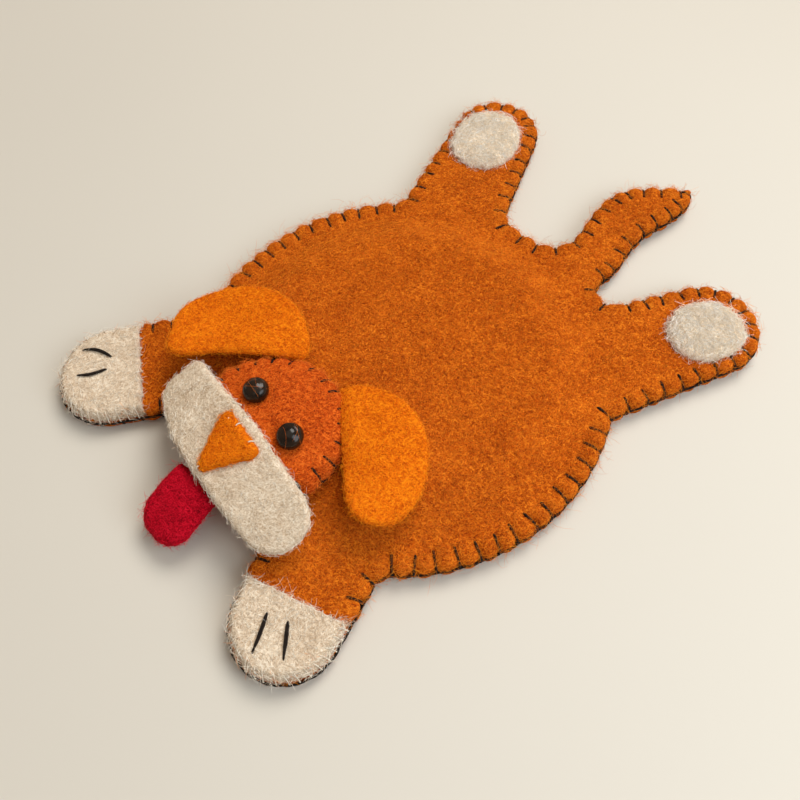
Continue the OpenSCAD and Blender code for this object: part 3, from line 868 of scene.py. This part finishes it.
for limb in range(-1, 5):
    for layer in ("back", "belly"):
        tris, shared = TRIS[TRI_LIMB == limb], D == 0
        if layer == "back":
            xy, top, low = MOVED, BACK_TOP, BACK_LOW
            if limb in PAW_LINE:
                # Under the paw's cover the felt stops a little short of the rim.
                xy = xy - (0.9 * PAW_MASK * (1 - smoothstep(D / 3)))[:, None] * N_RIM
                top = top - 0.3 * PAW_MASK
        else:
            xy, top, low = BELLY_MOVE, BELLY_TOP, BELLY_LOW
            if limb < 0:
                tris = tris[slit_distance(XY[tris].mean(1)) > 0]
                shared = shared | SLIT_RIM
        felt_piece(name_of(layer + "_felt", limb), XY, tris, surface(xy, low), surface(xy, top), shared,
                   "orange_felt", body_of(limb), name_of(layer + "_panel", limb),
                   area=area_of(tris), sharp=True)

# ---- Blanket stitch round the rim

BOTTOM_Z = 0.42                               # the threads below the belly stay this high


def rim_stitch(strands, k, under):
    """One stitch: out of its hole, over the felt and the rim, to the edge thread."""
    w = np.linspace(STITCH_L[k], -0.1, 14)
    p = STITCH_P[k] + w[:, None] * STITCH_IN[k]
    if under:
        z = np.maximum(height_at(p, BELLY_LOW) - 0.1, BOTTOM_Z)
        start = [*p[0], z[0] + 1.0]
    else:
        z = height_at(p, BACK_TOP) + 0.2
        start = [*(p[0] + 0.35 * STITCH_IN[k]), z[0] - 0.9]
    edge_z = FELT_T + (-0.2 if under else 0.2)
    z[-1] = (z[-1] + edge_z) / 2
    strands.sew(start, p, z, [*(STITCH_P[k] - STITCH_IN[k] * 0.15), edge_z])


def edge_thread_path(k, n=14):
    """The thread that runs along the rim, in the groove between the two layers."""
    last = STITCH_S[(k + 1) % STITCHES] + (RIM_LEN if k == STITCHES - 1 else 0)
    p, normal = on_rim(np.linspace(STITCH_S[k], last, n))
    f = np.linspace(0, 1, n)
    out = 0.1 + 0.22 * np.sin(np.pi * f)
    return np.column_stack([p + out[:, None] * normal, FELT_T + 0.12 * np.sin(2 * np.pi * f)])


for limb in range(-1, 5):
    strands = Strands()
    for k in np.flatnonzero(STITCH_LIMB == limb):
        for under in (True,) if STITCH_PAW[k] else (False, True):
            rim_stitch(strands, k, under)
    for k in range(STITCHES):
        path = edge_thread_path(k)
        run = path[limb_of(path[:, :2] - 0.6 * STITCH_N[k]) == limb]
        if len(run) > 2:
            strands.add(run)
    node = "rim_stitch" if limb < 0 else LIMBS[limb] + "_stitch"
    strands.piece(node + "_thread", "black_thread", body_of(limb), node)

strands = Strands()
for at, way in zip(SLIT_AT, SLIT_IN):
    p = at + np.linspace(3.0, -0.2, 9)[:, None] * way
    z = np.maximum(height_at(p, BELLY_LOW) - 0.1, BOTTOM_Z)
    strands.add([[*p[0], z[0] + 1.0], *np.column_stack([p, z]), [*(at - 0.3 * way), 1.6],
                 [*(at + 0.2 * way), 2.5]])
strands.piece("hand_slit_thread", "black_thread", "torso", "hand_slit_stitch")

# ---- Felt cut to an outline


def rounded_polygon(corners, radii, n=14):
    """A closed outline with a round corner of its own radius at each point."""
    out = []
    for k, r in enumerate(radii):
        p, a, b = (np.array(corners[j % len(corners)], float) for j in (k, k - 1, k + 1))
        ua, ub = (a - p) / np.linalg.norm(a - p), (b - p) / np.linalg.norm(b - p)
        half = math.acos(float(np.clip(ua @ ub, -1, 1))) / 2
        c = p + (ua + ub) / np.linalg.norm(ua + ub) * r / math.sin(half)
        e0, e1 = p + ua * r / math.tan(half) - c, p + ub * r / math.tan(half) - c
        for t in np.linspace(0, 1, n):
            w = e0 * (1 - t) + e1 * t
            out.append(c + w / np.linalg.norm(w) * r)
    return np.array(out)


def cut_felt(line, gap=1.0, rings=(0.2, 0.5, 0.9, 1.4, 2.0), wavy=0.12, seed=0):
    """Points and triangles that fill an outline, each point's distance from it, and its area."""
    p, s, _ = resample(line, 0.42)
    area = 0.5 * float(np.sum(p[:, 0] * np.roll(p[:, 1], -1) - np.roll(p[:, 0], -1) * p[:, 1]))
    if area < 0:
        p = p[::-1]
    t = np.roll(p, -1, 0) - np.roll(p, 1, 0)
    n = np.stack([t[:, 1], -t[:, 0]], 1) / np.linalg.norm(t, axis=1)[:, None]
    n = sum(np.roll(n, k, 0) for k in (-2, -1, 0, 1, 2))
    n /= np.linalg.norm(n, axis=1)[:, None]
    p = p + (wavy * rough(p, 0.7, seed + 1) + 0.6 * wavy * rough(p, 2.1, seed + 2))[:, None] * n
    from_edge = lambda q: place_on(q, p, s)[0]
    points, edges = [p], [(k, (k + 1) % len(p)) for k in range(len(p))]
    for d in rings:
        q = p - d * n
        points.append(q[(from_edge(q) > 0.97 * d) & within(q, p)])
    g = lattice(p.min(0), p.max(0), gap)
    g = g + rng.uniform(-0.15, 0.15, g.shape)
    g = g[within(g, p)]
    points.append(g[from_edge(g) > rings[-1] + 0.5])
    xy, tris = fill(points, edges, p)
    d = from_edge(xy)
    d[d < SNAP] = 0
    return xy, tris, d, abs(area)


def felt_sheet(name, grid, place, thick, tone, body, node, edge=1.0, top=0.0, soft=0.1):
    """A cut piece of felt. place turns flat points and heights into places; top is added to
    the height of its upper face."""
    xy, tris, d, area = grid
    q = rounded(d, edge)
    bumps = soft * (rough(xy, 0.3, 11) + 0.5 * rough(xy, 1.3, 12)) * np.clip(d / 1.5, 0, 1)
    up = thick / 2 * q + bumps + top * np.clip(d / 0.8, 0, 1)
    down = np.minimum(-thick / 2 * q + 0.5 * bumps, up - 0.15 * np.clip(d, 0, 1))
    felt_piece(name, xy, tris, place(xy, down), place(xy, up), d == 0, tone, body, node, area=area)


# ---- Paws

FINE = {"step": 0.35, "sides": 6, "twist": 2.6}
FINE_SHORT = {"step": 0.3, "sides": 6, "twist": 2.6}
WHIP = 2.6                                    # distance between the white whip stitches
PAW_EDGE_Z = 3.5                              # height of a cover's edge
CLAWS = {
    LEFT_ARM: [((35.7, -63.7), (41.4, -71.3), 0.2), ((40.2, -60.9), (46.8, -66.3), 0.1)],
    RIGHT_ARM: [((-49.2, -61.7), (-56.2, -67.2), -0.9), ((-46.6, -64.5), (-49.7, -71.9), 0.9)],
}
for i in PAW_LINE:
    body = LIMBS[i]
    name = body.replace("_arm", "_paw")
    along = unit(DIRECTION[i])
    pd = paw_distance(XY, i)
    pd[np.abs(pd) < SNAP] = 0
    own = (TRI_LIMB == i) & (paw_distance(TRI_MID, i) > 0)
    # Whip stitches round the paw, and across its straight edge.
    whips = np.arange(0, RIM_LEN, WHIP) + rng.normal(0, 0.2, int(np.ceil(RIM_LEN / WHIP)))
    whips = whips[near_paw(on_rim(whips)[0], i, 0.7)]
    wp, wn = on_rim(whips)
    win = inward(wn, np.radians(22 + rng.normal(0, 6, len(wp))))
    wlen = 2.0 * rng.uniform(0.8, 1.15, len(wp))
    lobe = np.clip(rim_gap(S, whips) / (WHIP / 2), 0, 1) ** 0.6
    out = (-0.7 + 0.45 * lobe) * (1 - smoothstep(D / 3))
    wob = 0.35 * rough(XY, 0.5, 31 + i) * (1 - smoothstep(np.abs(pd) / 1.5))
    xy = XY + out[:, None] * N_RIM + wob[:, None] * along
    ts = np.arange(-14, 14.1, WHIP)
    ts = ts[(rim_place(paw_line(i, ts))[0] > 0.8) & inside(paw_line(i, ts))]
    straight = np.array([paw_line(i, t + rng.normal(0, 0.2), -0.45) for t in ts])
    slant = np.radians(DIRECTION[i] + 24 + rng.normal(0, 7, len(ts)))
    sway = np.stack([np.cos(slant), np.sin(slant)], 1)
    claws = [(np.array(a), np.array(b) - a, bow) for a, b, bow in CLAWS[i]]
    pressed = [dents(XY, wp, win, wlen, width=0.4, depth=0.28),
               dents(XY, straight, sway, np.full(len(ts), 2.2), width=0.4, depth=0.25)]
    for a, way, _ in claws:
        length = np.linalg.norm(way)
        pressed.append(dents(XY, (a,), (way / length,), (length,), width=0.7, depth=0.3))
    base = BACK_TOP + DENT - PUFF
    soft = 0.16 * rough(XY, 0.35, 21 + i) + 0.08 * rough(XY, 1.2, 22 + i)
    rise = base + 1.25 + soft * np.clip(D / 2, 0, 1) - np.max(pressed, axis=0)
    top = PAW_EDGE_Z + (rise - PAW_EDGE_Z) * rounded(D, 1.9)
    cut = base + 0.1 + (top - base - 0.1) * rounded(np.maximum(pd, 0), 1.1)
    top = np.where(D > 1.2, np.minimum(top, cut), top)
    low = PAW_EDGE_Z - 0.45 * np.sin(np.pi * np.clip(D / 1.0, 0, 1)) + (
        base - 0.3 - PAW_EDGE_Z) * smoothstep((D - 0.8) / 1.0)
    low = np.minimum(low, top - 0.35 * np.clip(np.minimum(D, np.maximum(pd, 0)), 0, 1))
    mid = (top + low) / 2
    top, low = np.where(pd == 0, mid, top), np.where(pd == 0, mid, low)
    felt_piece(name + "_felt", XY, TRIS[own], surface(xy, low), surface(xy, top), (D == 0) | (pd == 0),
               "white_felt", body, name + "_cover", area=area_of(TRIS[own]))
    white = Strands()
    for k in range(len(wp)):
        w = np.linspace(wlen[k], 0, 8)
        p = wp[k] + w[:, None] * win[k] + 0.25 * wn[k] * (1 - w / wlen[k])[:, None]
        z = height_at(p, top) + 0.1
        z[-2:] = [z[-2] - 0.3, 4.6]
        white.sew([*(p[0] + 0.3 * win[k]), z[0] - 0.6], p, z, [*(wp[k] + 0.5 * wn[k]), 3.7],
                  [*(wp[k] + 0.1 * wn[k]), 2.9], radius=0.18, **FINE)
    for at, way in zip(straight, sway):
        p = at + np.linspace(0, 1.9, 7)[:, None] * way
        z = np.where(paw_distance(p, i) > 0.2, height_at(p, top), height_at(p, base)) + 0.14
        white.sew([*p[0], z[0] - 0.7], p, z, [*p[-1], z[-1] - 0.8], radius=0.19, **FINE)
    white.piece(name + "_thread", "white_thread", body, name + "_stitch")
    black = Strands()
    w = np.linspace(0, 1, 14)
    for a, way, bow in claws:
        across = np.array([-way[1], way[0]]) / np.linalg.norm(way)
        for ply in (-0.22, 0.22):
            off = bow * np.sin(np.pi * w) + ply * np.sin(np.pi * np.clip(w * 1.2, 0, 1)) ** 0.5
            p = a + w[:, None] * way + off[:, None] * across
            z = height_at(p, top) + 0.28 + 0.22 * np.sin(np.pi * w)
            black.sew([*p[0], z[0] - 1.2], p, z, [*p[-1], z[-1] - 1.2], radius=0.29)
    claw = name.replace("paw", "claw")
    black.piece(claw + "_thread", "black_thread", body, claw + "_stitch")

# ---- Foot pads

for i in PAD_BACK:
    body = LIMBS[i]
    name = body.replace("_leg", "_foot_pad")
    a = np.radians(np.arange(0, 360, 6))
    shape = [size / 2 * np.sign(f(a)) * np.abs(f(a)) ** 0.92
             for size, f in zip(PAD_SIZE[i], (np.sin, np.cos))]
    along, side = unit(DIRECTION[i]), unit(DIRECTION[i] + 90)
    middle = TIP[i] - PAD_BACK[i] * along + PAD_SIDE[i] * side
    line = middle + shape[1][:, None] * along + shape[0][:, None] * side
    xy, tris, d, area = cut_felt(line, gap=0.9, wavy=0.5, seed=40 + i)
    under, near = height_at(xy, BACK_TOP), np.clip(d, 0, 1)
    high = under + 0.05 + 1.75 * rounded(d, 4.5) ** 0.8 + 0.22 * rough(xy, 0.4, 41) * near
    high += 0.16 * rough(xy, 1.4, 42) * near
    felt_piece(name + "_wool", xy, tris, surface(xy, under - 0.35 * near), surface(xy, high), d == 0,
               "pad_wool", body, name, area=area)

# ---- Head

FACE, HEAD_BACK = node_box("face_panel"), node_box("head_back_panel")
HEAD_C = (HEAD_BACK[LOW][:2] + HEAD_BACK[HIGH][:2]) / 2
HEAD_R = (HEAD_BACK[HIGH][0] - HEAD_BACK[LOW][0]) / 2 + 0.5
HEAD_TOP, HEAD_LOW = FACE[HIGH][2], HEAD_BACK[LOW][2] + 0.1
SEAM_Z = HEAD_BACK[HIGH][2] + 0.1
HEAD_STITCHES = 24
EYES = {name: node_box(name)[:, :2].mean(0) for name in ("left_eye", "right_eye")}

head_angle = np.radians(np.arange(HEAD_STITCHES) * 360 / HEAD_STITCHES - 7.5
                        + rng.normal(0, 1.2, HEAD_STITCHES))
head_out = np.stack([np.cos(head_angle), np.sin(head_angle)], 1)
head_leg = 2.9 * rng.uniform(0.85, 1.15, HEAD_STITCHES)
ring = np.radians(np.arange(0, 360, 1.2))
xy, tris, d, _ = cut_felt(HEAD_C + HEAD_R * np.stack([np.cos(ring), np.sin(ring)], 1), gap=0.95,
                          wavy=0.1, seed=50)
rel = xy - HEAD_C
turn = np.arctan2(rel[:, 1], rel[:, 0])
off = np.abs((turn[:, None] - head_angle[None] + np.pi) % (2 * np.pi) - np.pi).min(1)
lobe = np.clip(off / (np.pi / HEAD_STITCHES), 0, 1) ** 0.5
radial = rel / np.maximum(np.linalg.norm(rel, axis=1), 1e-6)[:, None]
head_xy = xy + ((lobe * 1.0 - 0.75) * (1 - smoothstep(d / 2.4)))[:, None] * radial
head_dent = dents(xy, HEAD_C + HEAD_R * head_out, -head_out, head_leg, depth=0.5)
# Round the eyes the face is drawn in.
for eye in EYES.values():
    head_dent = head_dent + 0.55 * np.exp(-(np.hypot(*(xy - eye).T) / 3.6) ** 4)
r = np.clip(np.linalg.norm(rel, axis=1) / HEAD_R, 0, 1)
dome = SEAM_Z + 1.5 * rounded(d, 1.5) + (HEAD_TOP - SEAM_Z - 1.5) * (1 - r ** 2) ** 0.85
dome += (0.14 * rough(xy, 0.25, 51) + 0.08 * rough(xy, 0.9, 52) + 0.25 * lobe * np.exp(
    -((d - 1.8) / 1.3) ** 2)) * np.clip(d, 0, 1) - head_dent * np.clip(d / 0.8, 0.2, 1)
base = SEAM_Z - (SEAM_Z - HEAD_LOW) * rounded(d, 2.4)
head = felt_piece("head_felt", xy, tris, surface(head_xy, base), surface(head_xy, dome), d == 0,
                  "rust_felt", "head", "face_panel", "head_back_panel", "head_stuffing")
head_height = height_map(head_xy)

# The stitches at the front of the head are hidden by the muzzle, and are left out.
strands = Strands()
for k in np.flatnonzero(np.sin(head_angle) > -0.62):
    at = HEAD_C + (HEAD_R - 0.15) * head_out[k]
    p = at - np.linspace(head_leg[k], 0, 9)[:, None] * head_out[k]
    z = head_height(p, dome) + 0.16
    z[-1] = SEAM_Z + 0.9
    strands.sew([*p[0], z[0] - 1], p, z, [*(at + 0.1 * head_out[k]), SEAM_Z], radius=0.33)
    if math.sin(head_angle[k]) > -0.55:
        last = head_angle[(k + 1) % HEAD_STITCHES] + (2 * np.pi if k == HEAD_STITCHES - 1 else 0)
        a = np.linspace(head_angle[k], last, 12)
        rr = HEAD_R - 0.35 + 0.1 * np.sin(np.linspace(0, np.pi, 12))
        strands.add(np.column_stack([HEAD_C[0] + rr * np.cos(a), HEAD_C[1] + rr * np.sin(a),
                                     np.full(12, SEAM_Z - 0.7)]), radius=0.33)
strands.piece("head_seam_thread", "black_thread", "head", "head_seam_stitch")

neck = Strands()
for x in (-3.2, -1.1, 1.0, 3.1):
    f = np.linspace(0, 1, 9)
    z = 10.9 + 0.15 * np.sin(np.pi * np.minimum(f * 1.4, 1)) + 0.5 * f ** 2
    z[0] = 10.1
    neck.add(np.column_stack([x + 0.4 * f, np.linspace(-18.6, -21.6, 9), z]), radius=0.3)
neck.piece("neck_thread", "black_thread", "neck", "neck_stitch")

# Beads for eyes: a flattened ball with a raised ring round the hole, sunk in the face. The
# profile gives radius and height, as shares of the bead's radius.
PROFILE = [(0.0, -0.75), (0.55, -0.72), (0.85, -0.5), (1.0, -0.18), (1.04, 0.06), (1.0, 0.28),
           (0.9, 0.49), (0.76, 0.62), (0.68, 0.645), (0.6, 0.69), (0.45, 0.8), (0.25, 0.87),
           (0.0, 0.89)]
fine = smooth_path(resample(np.array(PROFILE), 0.05, closed=False)[0], 2)
BEAD_SIDES = 56
for name, eye in EYES.items():
    low, high = node_box(name)
    r, n = (high[0] - low[0]) / 2, BEAD_SIDES
    a = np.linspace(0, 2 * np.pi, n, endpoint=False)
    verts = [[0, 0, fine[0][1] * r]]
    for q in fine[1:-1]:
        verts += np.column_stack([q[0] * r * np.cos(a), q[0] * r * np.sin(a),
                                  np.full(n, q[1] * r)]).tolist()
    verts.append([0, 0, fine[-1][1] * r])
    last = len(verts) - 1
    faces = [(0, 1 + (k + 1) % n, 1 + k) for k in range(n)] + tube(len(fine) - 2, n, 1)
    faces += [(last, last - n + k, last - n + (k + 1) % n) for k in range(n)]
    verts = np.array(verts)
    verts[:, :2] *= 1 + 0.02 * np.array([[noise.noise(Vector(v) * 0.8)] for v in verts])
    lean = Matrix.Rotation(0.16 * np.sign(eye[0]), 3, "Y") @ Matrix.Rotation(0.12, 3, "X")
    verts = verts @ np.array(lean).T + [*eye, (low[2] + high[2]) / 2 + 0.15]
    make_piece(name + "_bead", verts, faces, "bead", "head", name)

# A few wisps of wool cling to the beads.
hairs = Strands()
eye_top = node_box("left_eye")[HIGH][2]
for eye in np.repeat(list(EYES.values()), 3, axis=0):
    a, bow = math.degrees(rng.uniform(0, 2 * np.pi)), rng.normal(0, 0.8)
    w = np.linspace(-1, 1, 12)[:, None]
    p = eye + rng.normal(0, 1.1, 2) + w * 3.3 * unit(a) + bow * (1 - w ** 2) * unit(a + 90)
    off = np.clip(np.hypot(*(p - eye).T) / 3.45, 0, 0.985)
    z = eye_top - 3.25 + 3.25 * np.sqrt(1 - off ** 2) * 0.93 + 0.3
    hairs.add(smooth_path(np.column_stack([p, z]), 2), radius=0.02, step=0.5, sides=4, twist=0)
hairs.piece("eye_wisps", "rust_felt_fibres", "head")

# ---- Muzzle, nose and tongue

MUZZLE_AT, MUZZLE_TILT, MUZZLE_BEND = np.array([1.0, -51.8, 18.3]), math.radians(16), 78.0
MUZZLE_W, MUZZLE_D = 56.0, 16.8
NOSE_W, NOSE_L, NOSE_UP = 15.0, 14.5, 1.45


def on_muzzle(xy, h):
    """Places a point of the muzzle's flat cut, h above its middle layer."""
    u, v = xy[:, 0], xy[:, 1]
    a = u / MUZZLE_BEND
    x = (MUZZLE_BEND + h) * np.sin(a)
    z = (MUZZLE_BEND + h) * np.cos(a) - MUZZLE_BEND
    z = z - 0.9 * smoothstep((np.abs(u) - 12) / 16) * (np.abs(u) > 12)
    z = z - 0.6 * (v / 8.75) ** 2 * (v < 0)
    c, s = math.cos(MUZZLE_TILT), math.sin(MUZZLE_TILT)
    return np.column_stack([MUZZLE_AT[0] + x, MUZZLE_AT[1] + c * v - s * z,
                            MUZZLE_AT[2] + s * v + c * z])


hw, hd = MUZZLE_W / 2, MUZZLE_D / 2
line = rounded_polygon([(hw + 0.3, hd - 0.2), (0, hd + 1.5), (-hw - 2.2, hd - 1.4),
                        (-hw - 3.0, -hd + 2.6), (-13, -hd - 0.9), (hw, -hd)],
                       [8.0, 30.0, 2.6, 5.6, 30.0, 8.2])
grid = cut_felt(line, gap=0.95, wavy=0.3, seed=60)
press = 0.55 * np.exp(-((grid[0][:, 0] + 0.6) / 9) ** 4 - ((grid[0][:, 1] - 1) / 8) ** 4)
felt_sheet("muzzle_felt", grid, on_muzzle, 2.7, "white_felt", "head", "muzzle", edge=1.5,
           top=0.25 - press, soft=0.22)

line = rounded_polygon([(NOSE_W / 2 + 1.0, NOSE_L / 2), (-NOSE_W / 2 - 1.0, NOSE_L / 2),
                        (0, -NOSE_L / 2 - 2.0)], [1.9, 1.9, 1.8]) + [-0.6, 0]
felt_sheet("nose_felt", cut_felt(line, gap=0.8, wavy=0.28, seed=70),
           lambda xy, h: on_muzzle(xy, NOSE_UP + h), 1.9, "bright_orange_felt", "head", "nose",
           edge=1.7, top=0.35, soft=0.15)


def tack(strands, x, y, turn, size, reach, high, drop, ends, radius):
    """A short stitch on the muzzle, which steps down over the edge of the felt that it holds."""
    w = np.linspace(-0.6, reach, 9)
    p = np.array([x, y]) + size * w[:, None] * unit(turn)
    h = high - drop[0] * smoothstep((w + 0.1) / drop[1])
    h[[0, -1]] = ends
    path = [on_muzzle(np.array([q]), np.array([up]))[0] for q, up in zip(p, h)]
    strands.add(smooth_path(path), radius=radius, **FINE_SHORT)


white = Strands()
for x, y, turn, size in ((-5.3, 6.2, 122, 1.7), (-2.4, 7.0, 100, 1.9), (3.2, 7.0, 70, 1.5),
                         (-0.7, -7.2, -80, 1.4)):
    tack(white, x, y, turn, size, 0.4, 2.62, (0.9, 0.45), (1.5, 1.0), 0.18)
white.piece("nose_thread", "white_thread", "head", "nose_stitch")
white = Strands()
for x, turn in ((-8.4, 55), (-3.4, 100), (6.6, 118)):
    tack(white, x, hd + 0.7, turn, 1.4, 0.55, 1.4, (1.2, 0.5), (0.6, -0.9), 0.13)
white.piece("muzzle_thread", "white_thread", "head", "muzzle_stitch")

tongue_pos, tongue_out = hinge("tongue")
TONGUE_TILT = math.radians(22)


def on_tongue(xy, h):
    """Flat x runs across the tongue and y towards its tip."""
    x, y = xy[:, 0], xy[:, 1]
    side = np.array([-tongue_out[1], tongue_out[0]])
    sag = 0.5 * np.cos(x / 5.0) - 0.035 * np.maximum(y - 5, 0) ** 2 * 0.35
    drop = -math.sin(TONGUE_TILT) * y + math.cos(TONGUE_TILT) * (h + sag)
    drop = drop + 0.35 * (y < 0) * y
    forward = math.cos(TONGUE_TILT) * y + math.sin(TONGUE_TILT) * h
    p = tongue_pos[:2] + [1.5, -0.7] + forward[:, None] * tongue_out + x[:, None] * side
    return np.column_stack([p, tongue_pos[2] + drop])


line = rounded_polygon([(7.6, -2.2), (7.9, 15.2), (-7.6, 15.6), (-7.4, -2.2)], [1.0, 6.8, 6.2, 1.0])
felt_sheet("tongue_felt", cut_felt(line, gap=0.9, wavy=0.3, seed=80), on_tongue, 2.4, "red_felt",
           "tongue", "tongue", edge=1.4, soft=0.25)

# ---- Ears

# For each ear: its two ends, its height, how high each end stands, the heel and corner radius
# at each end, how full the round side is towards each end, and how far the heel is tucked in.
EARS = {"left_ear": ((-8.8, 28.9), 16.9, (-1.0, 4.4), (3.9, 3.9), (1.6, 8.0), (1.0, 1.0), 0.9),
        "right_ear": ((-31.1, 6.7), 19.0, (5.5, 0.5), (4.4, 2.4), (3.6, 2.6), (0.86, 1.2), 0.2)}


def half_moon(ends, high, stand, heel, corner, full):
    """A round outer side, and a nearly straight side with a round corner at each end."""
    mid, half = sum(ends) / 2, (ends[1] - ends[0]) / 2
    mix = lambda pair, f: pair[0] + (pair[1] - pair[0]) * f
    line = []
    for t in np.radians(np.arange(0, 181, 3)):
        f = (math.cos(t) + 1) / 2
        line.append([mid + half * math.cos(t), mix(stand, f) + (high - mix(stand, f))
                     * math.sin(t) ** mix(full, f)])
    near = np.array([ends[0] + corner[0], -heel[0] + corner[0]])
    far = np.array([ends[1] - corner[1], -heel[1] + corner[1]])
    line += [list(p) for p in arc(near, corner[0], 180, 270)]
    for f in np.linspace(0, 1, 24)[:-1]:
        line.append([mix((near[0], far[0]), f), -mix(heel, smoothstep(2.6 * f))])
    return np.array(line + [list(p) for p in arc(far, corner[1], 270, 360)])


for name, (ends, high, stand, heel, corner, full, tuck) in EARS.items():
    pos, out = hinge(name)
    side = np.array([out[1], -out[0]])
    sign = -1 if name == "left_ear" else 1

    def on_ear(xy, h, pos=pos, out=out, side=side, shift=sum(ends) / 2, tab=-4.0 * sign, tuck=tuck):
        x, y = xy[:, 0], xy[:, 1]
        z = h + 0.4 - 0.9 * smoothstep(np.maximum(y, 0) / 20) - 0.5 * ((x - shift) / 17) ** 2
        z = z + 0.6 * np.cos((x - tab) / 4.2) * np.exp(-np.maximum(y + 2, 0) / 6)
        z = z + 0.5 * np.sin((x + y) / 7.5) * smoothstep(y / 8)
        z = z - tuck * smoothstep((-0.8 - y) / 3) * (np.abs(x) < 13)
        p = pos[:2] + y[:, None] * out + x[:, None] * side
        return np.column_stack([p, pos[2] + z])

    line = half_moon(ends, high, stand, heel, corner, full)
    felt_sheet(name + "_felt", cut_felt(line, gap=1.0, wavy=0.2, seed=90 + sign), on_ear, 2.3,
               "bright_orange_felt", name, name, edge=1.3, soft=0.12)

# ---- Loose fibres


def up_side(centre, normal):
    return np.where(normal[:, 2] > 0.1, 1.0, 0.12)


def clear_of_head(centre, normal):
    """Fewer fibres where another piece hides the felt."""
    under_head = np.hypot(centre[:, 0] - HEAD_C[0], centre[:, 1] - HEAD_C[1]) < HEAD_R - 2
    return np.where(under_head, 0.1, 1.0) * up_side(centre, normal) * np.where(
        centre[:, 2] < FELT_T, 0.4, 1.0)


def edges_too(centre, normal):
    return np.where(normal[:, 2] > -0.3, 1.0, 0.35) * (1 + 1.2 * (np.abs(normal[:, 2]) < 0.7))


def rim_only(centre, normal):
    return np.where(np.abs(normal[:, 2]) < 0.85, 1.0, 0.08) * (centre[:, 2] > FELT_T + 0.2)


def underside(centre, normal):
    return np.where(normal[:, 2] < 0, 1.0, 0.0) * np.where(centre[:, 2] > 0.3, 1.0, 0.25)


LONG = {"length": (3.5, 8.5), "curl": 1.0, "segments": 4, "width": 0.026}
PAD_CURLS = {"curl": 2.4, "length": (2, 4.5), "segments": 4, "stand": 0.1, "width": 0.05}
PAW_FIBRES = {"length": (2, 5), "curl": 0.7}
EAR_FIBRES = {"length": (1, 2.6)}
HALO = {"length": (1.5, 4.5), "lift": (0.3, 1.0), "curl": 1.2, "width": 0.025, "segments": 3,
        "stand": 0.5}
FUZZ = {}         # the pieces of fibres on each piece
for name, count, where, style in (
        ("back_felt", 13000, clear_of_head, {}),
        ("back_felt", 13000, clear_of_head, {}),
        ("back_felt", 6000, clear_of_head, LONG),
        ("back_felt_left_arm", 1800, clear_of_head, {}),
        ("back_felt_right_arm", 1800, clear_of_head, {}),
        ("back_felt_left_leg", 3000, clear_of_head, {}),
        ("back_felt_right_leg", 3000, clear_of_head, {}),
        ("back_felt_tail", 2100, clear_of_head, {}),
        ("belly_felt", 3000, underside, {"lift": (0.0, 0.12), "stand": 0.0}),
        ("left_paw_felt", 2400, edges_too, PAW_FIBRES),
        ("right_paw_felt", 2400, edges_too, PAW_FIBRES),
        ("left_foot_pad_wool", 2700, up_side, PAD_CURLS),
        ("right_foot_pad_wool", 2900, up_side, PAD_CURLS),
        ("head_felt", 3600, edges_too, {"length": (2, 4.5)}),
        ("muzzle_felt", 3200, edges_too, {"length": (1.2, 3)}),
        ("nose_felt", 700, edges_too, {"length": (1, 2.4)}),
        ("tongue_felt", 1500, edges_too, {"length": (1.5, 3.5)}),
        ("left_ear_felt", 2600, edges_too, EAR_FIBRES),
        ("right_ear_felt", 2600, edges_too, EAR_FIBRES)):
    group = FUZZ.setdefault(name, [])
    group.append(fibres(f"{name}_fibres_{len(group) + 1}", name, count, where, **style))
# Longer wisps that stand off the rim and cast a fine halo.
for limb in range(-1, 5):
    name = name_of("back_felt", limb)
    FUZZ[name].append(fibres(name + "_halo", name, 800 if limb < 0 else 200, rim_only, **HALO))

# ---- Sheets

for name, (piece, body, size, area) in CUTS.items():
    if name.endswith("_wool"):
        continue
    w, l = float(size[0]), float(size[1])

# ---- Floor and light

bpy.ops.mesh.primitive_plane_add(size=6.0, location=(0, 0, 0))
floor = bpy.context.object
floor.name = "floor"
floor.data.materials.append(plain_floor("pale_table"))

AWAY = np.array([-math.sin(AZ), math.cos(AZ)])       # across the floor, away from the camera
ASIDE = np.array([math.cos(AZ), math.sin(AZ)])       # across the floor, to the camera's right


def area_light(name, away, aside, elevation, distance, size, power, colour):
    flat = away * AWAY + aside * ASIDE
    flat = flat / np.linalg.norm(flat) * math.cos(math.radians(elevation))
    way = Vector((*flat, math.sin(math.radians(elevation))))
    data = bpy.data.lights.new(name, "AREA")
    data.shape, data.size, data.energy, data.color = "DISK", size, power, colour
    lamp = bpy.data.objects.new(name, data)
    bpy.context.scene.collection.objects.link(lamp)
    lamp.location = way * distance
    lamp.rotation_mode = "QUATERNION"
    lamp.rotation_quaternion = way.to_track_quat("Z", "Y")


area_light("window", 0.75, 0.65, 54, 1.7, 1.0, 21.0, (1.0, 0.96, 0.9))
area_light("ceiling", -0.2, 0.1, 84, 1.6, 1.6, 4.0, (1.0, 0.88, 0.74))
area_light("lamp", -0.7, 0.9, 40, 0.5, 0.35, 1.4, (0.82, 0.92, 1.0))
world = bpy.data.worlds.new("room")
bpy.context.scene.world = world
world.use_nodes = True
world.node_tree.nodes["Background"].inputs["Color"].default_value = (1.0, 0.92, 0.81, 1)
world.node_tree.nodes["Background"].inputs["Strength"].default_value = 0.26
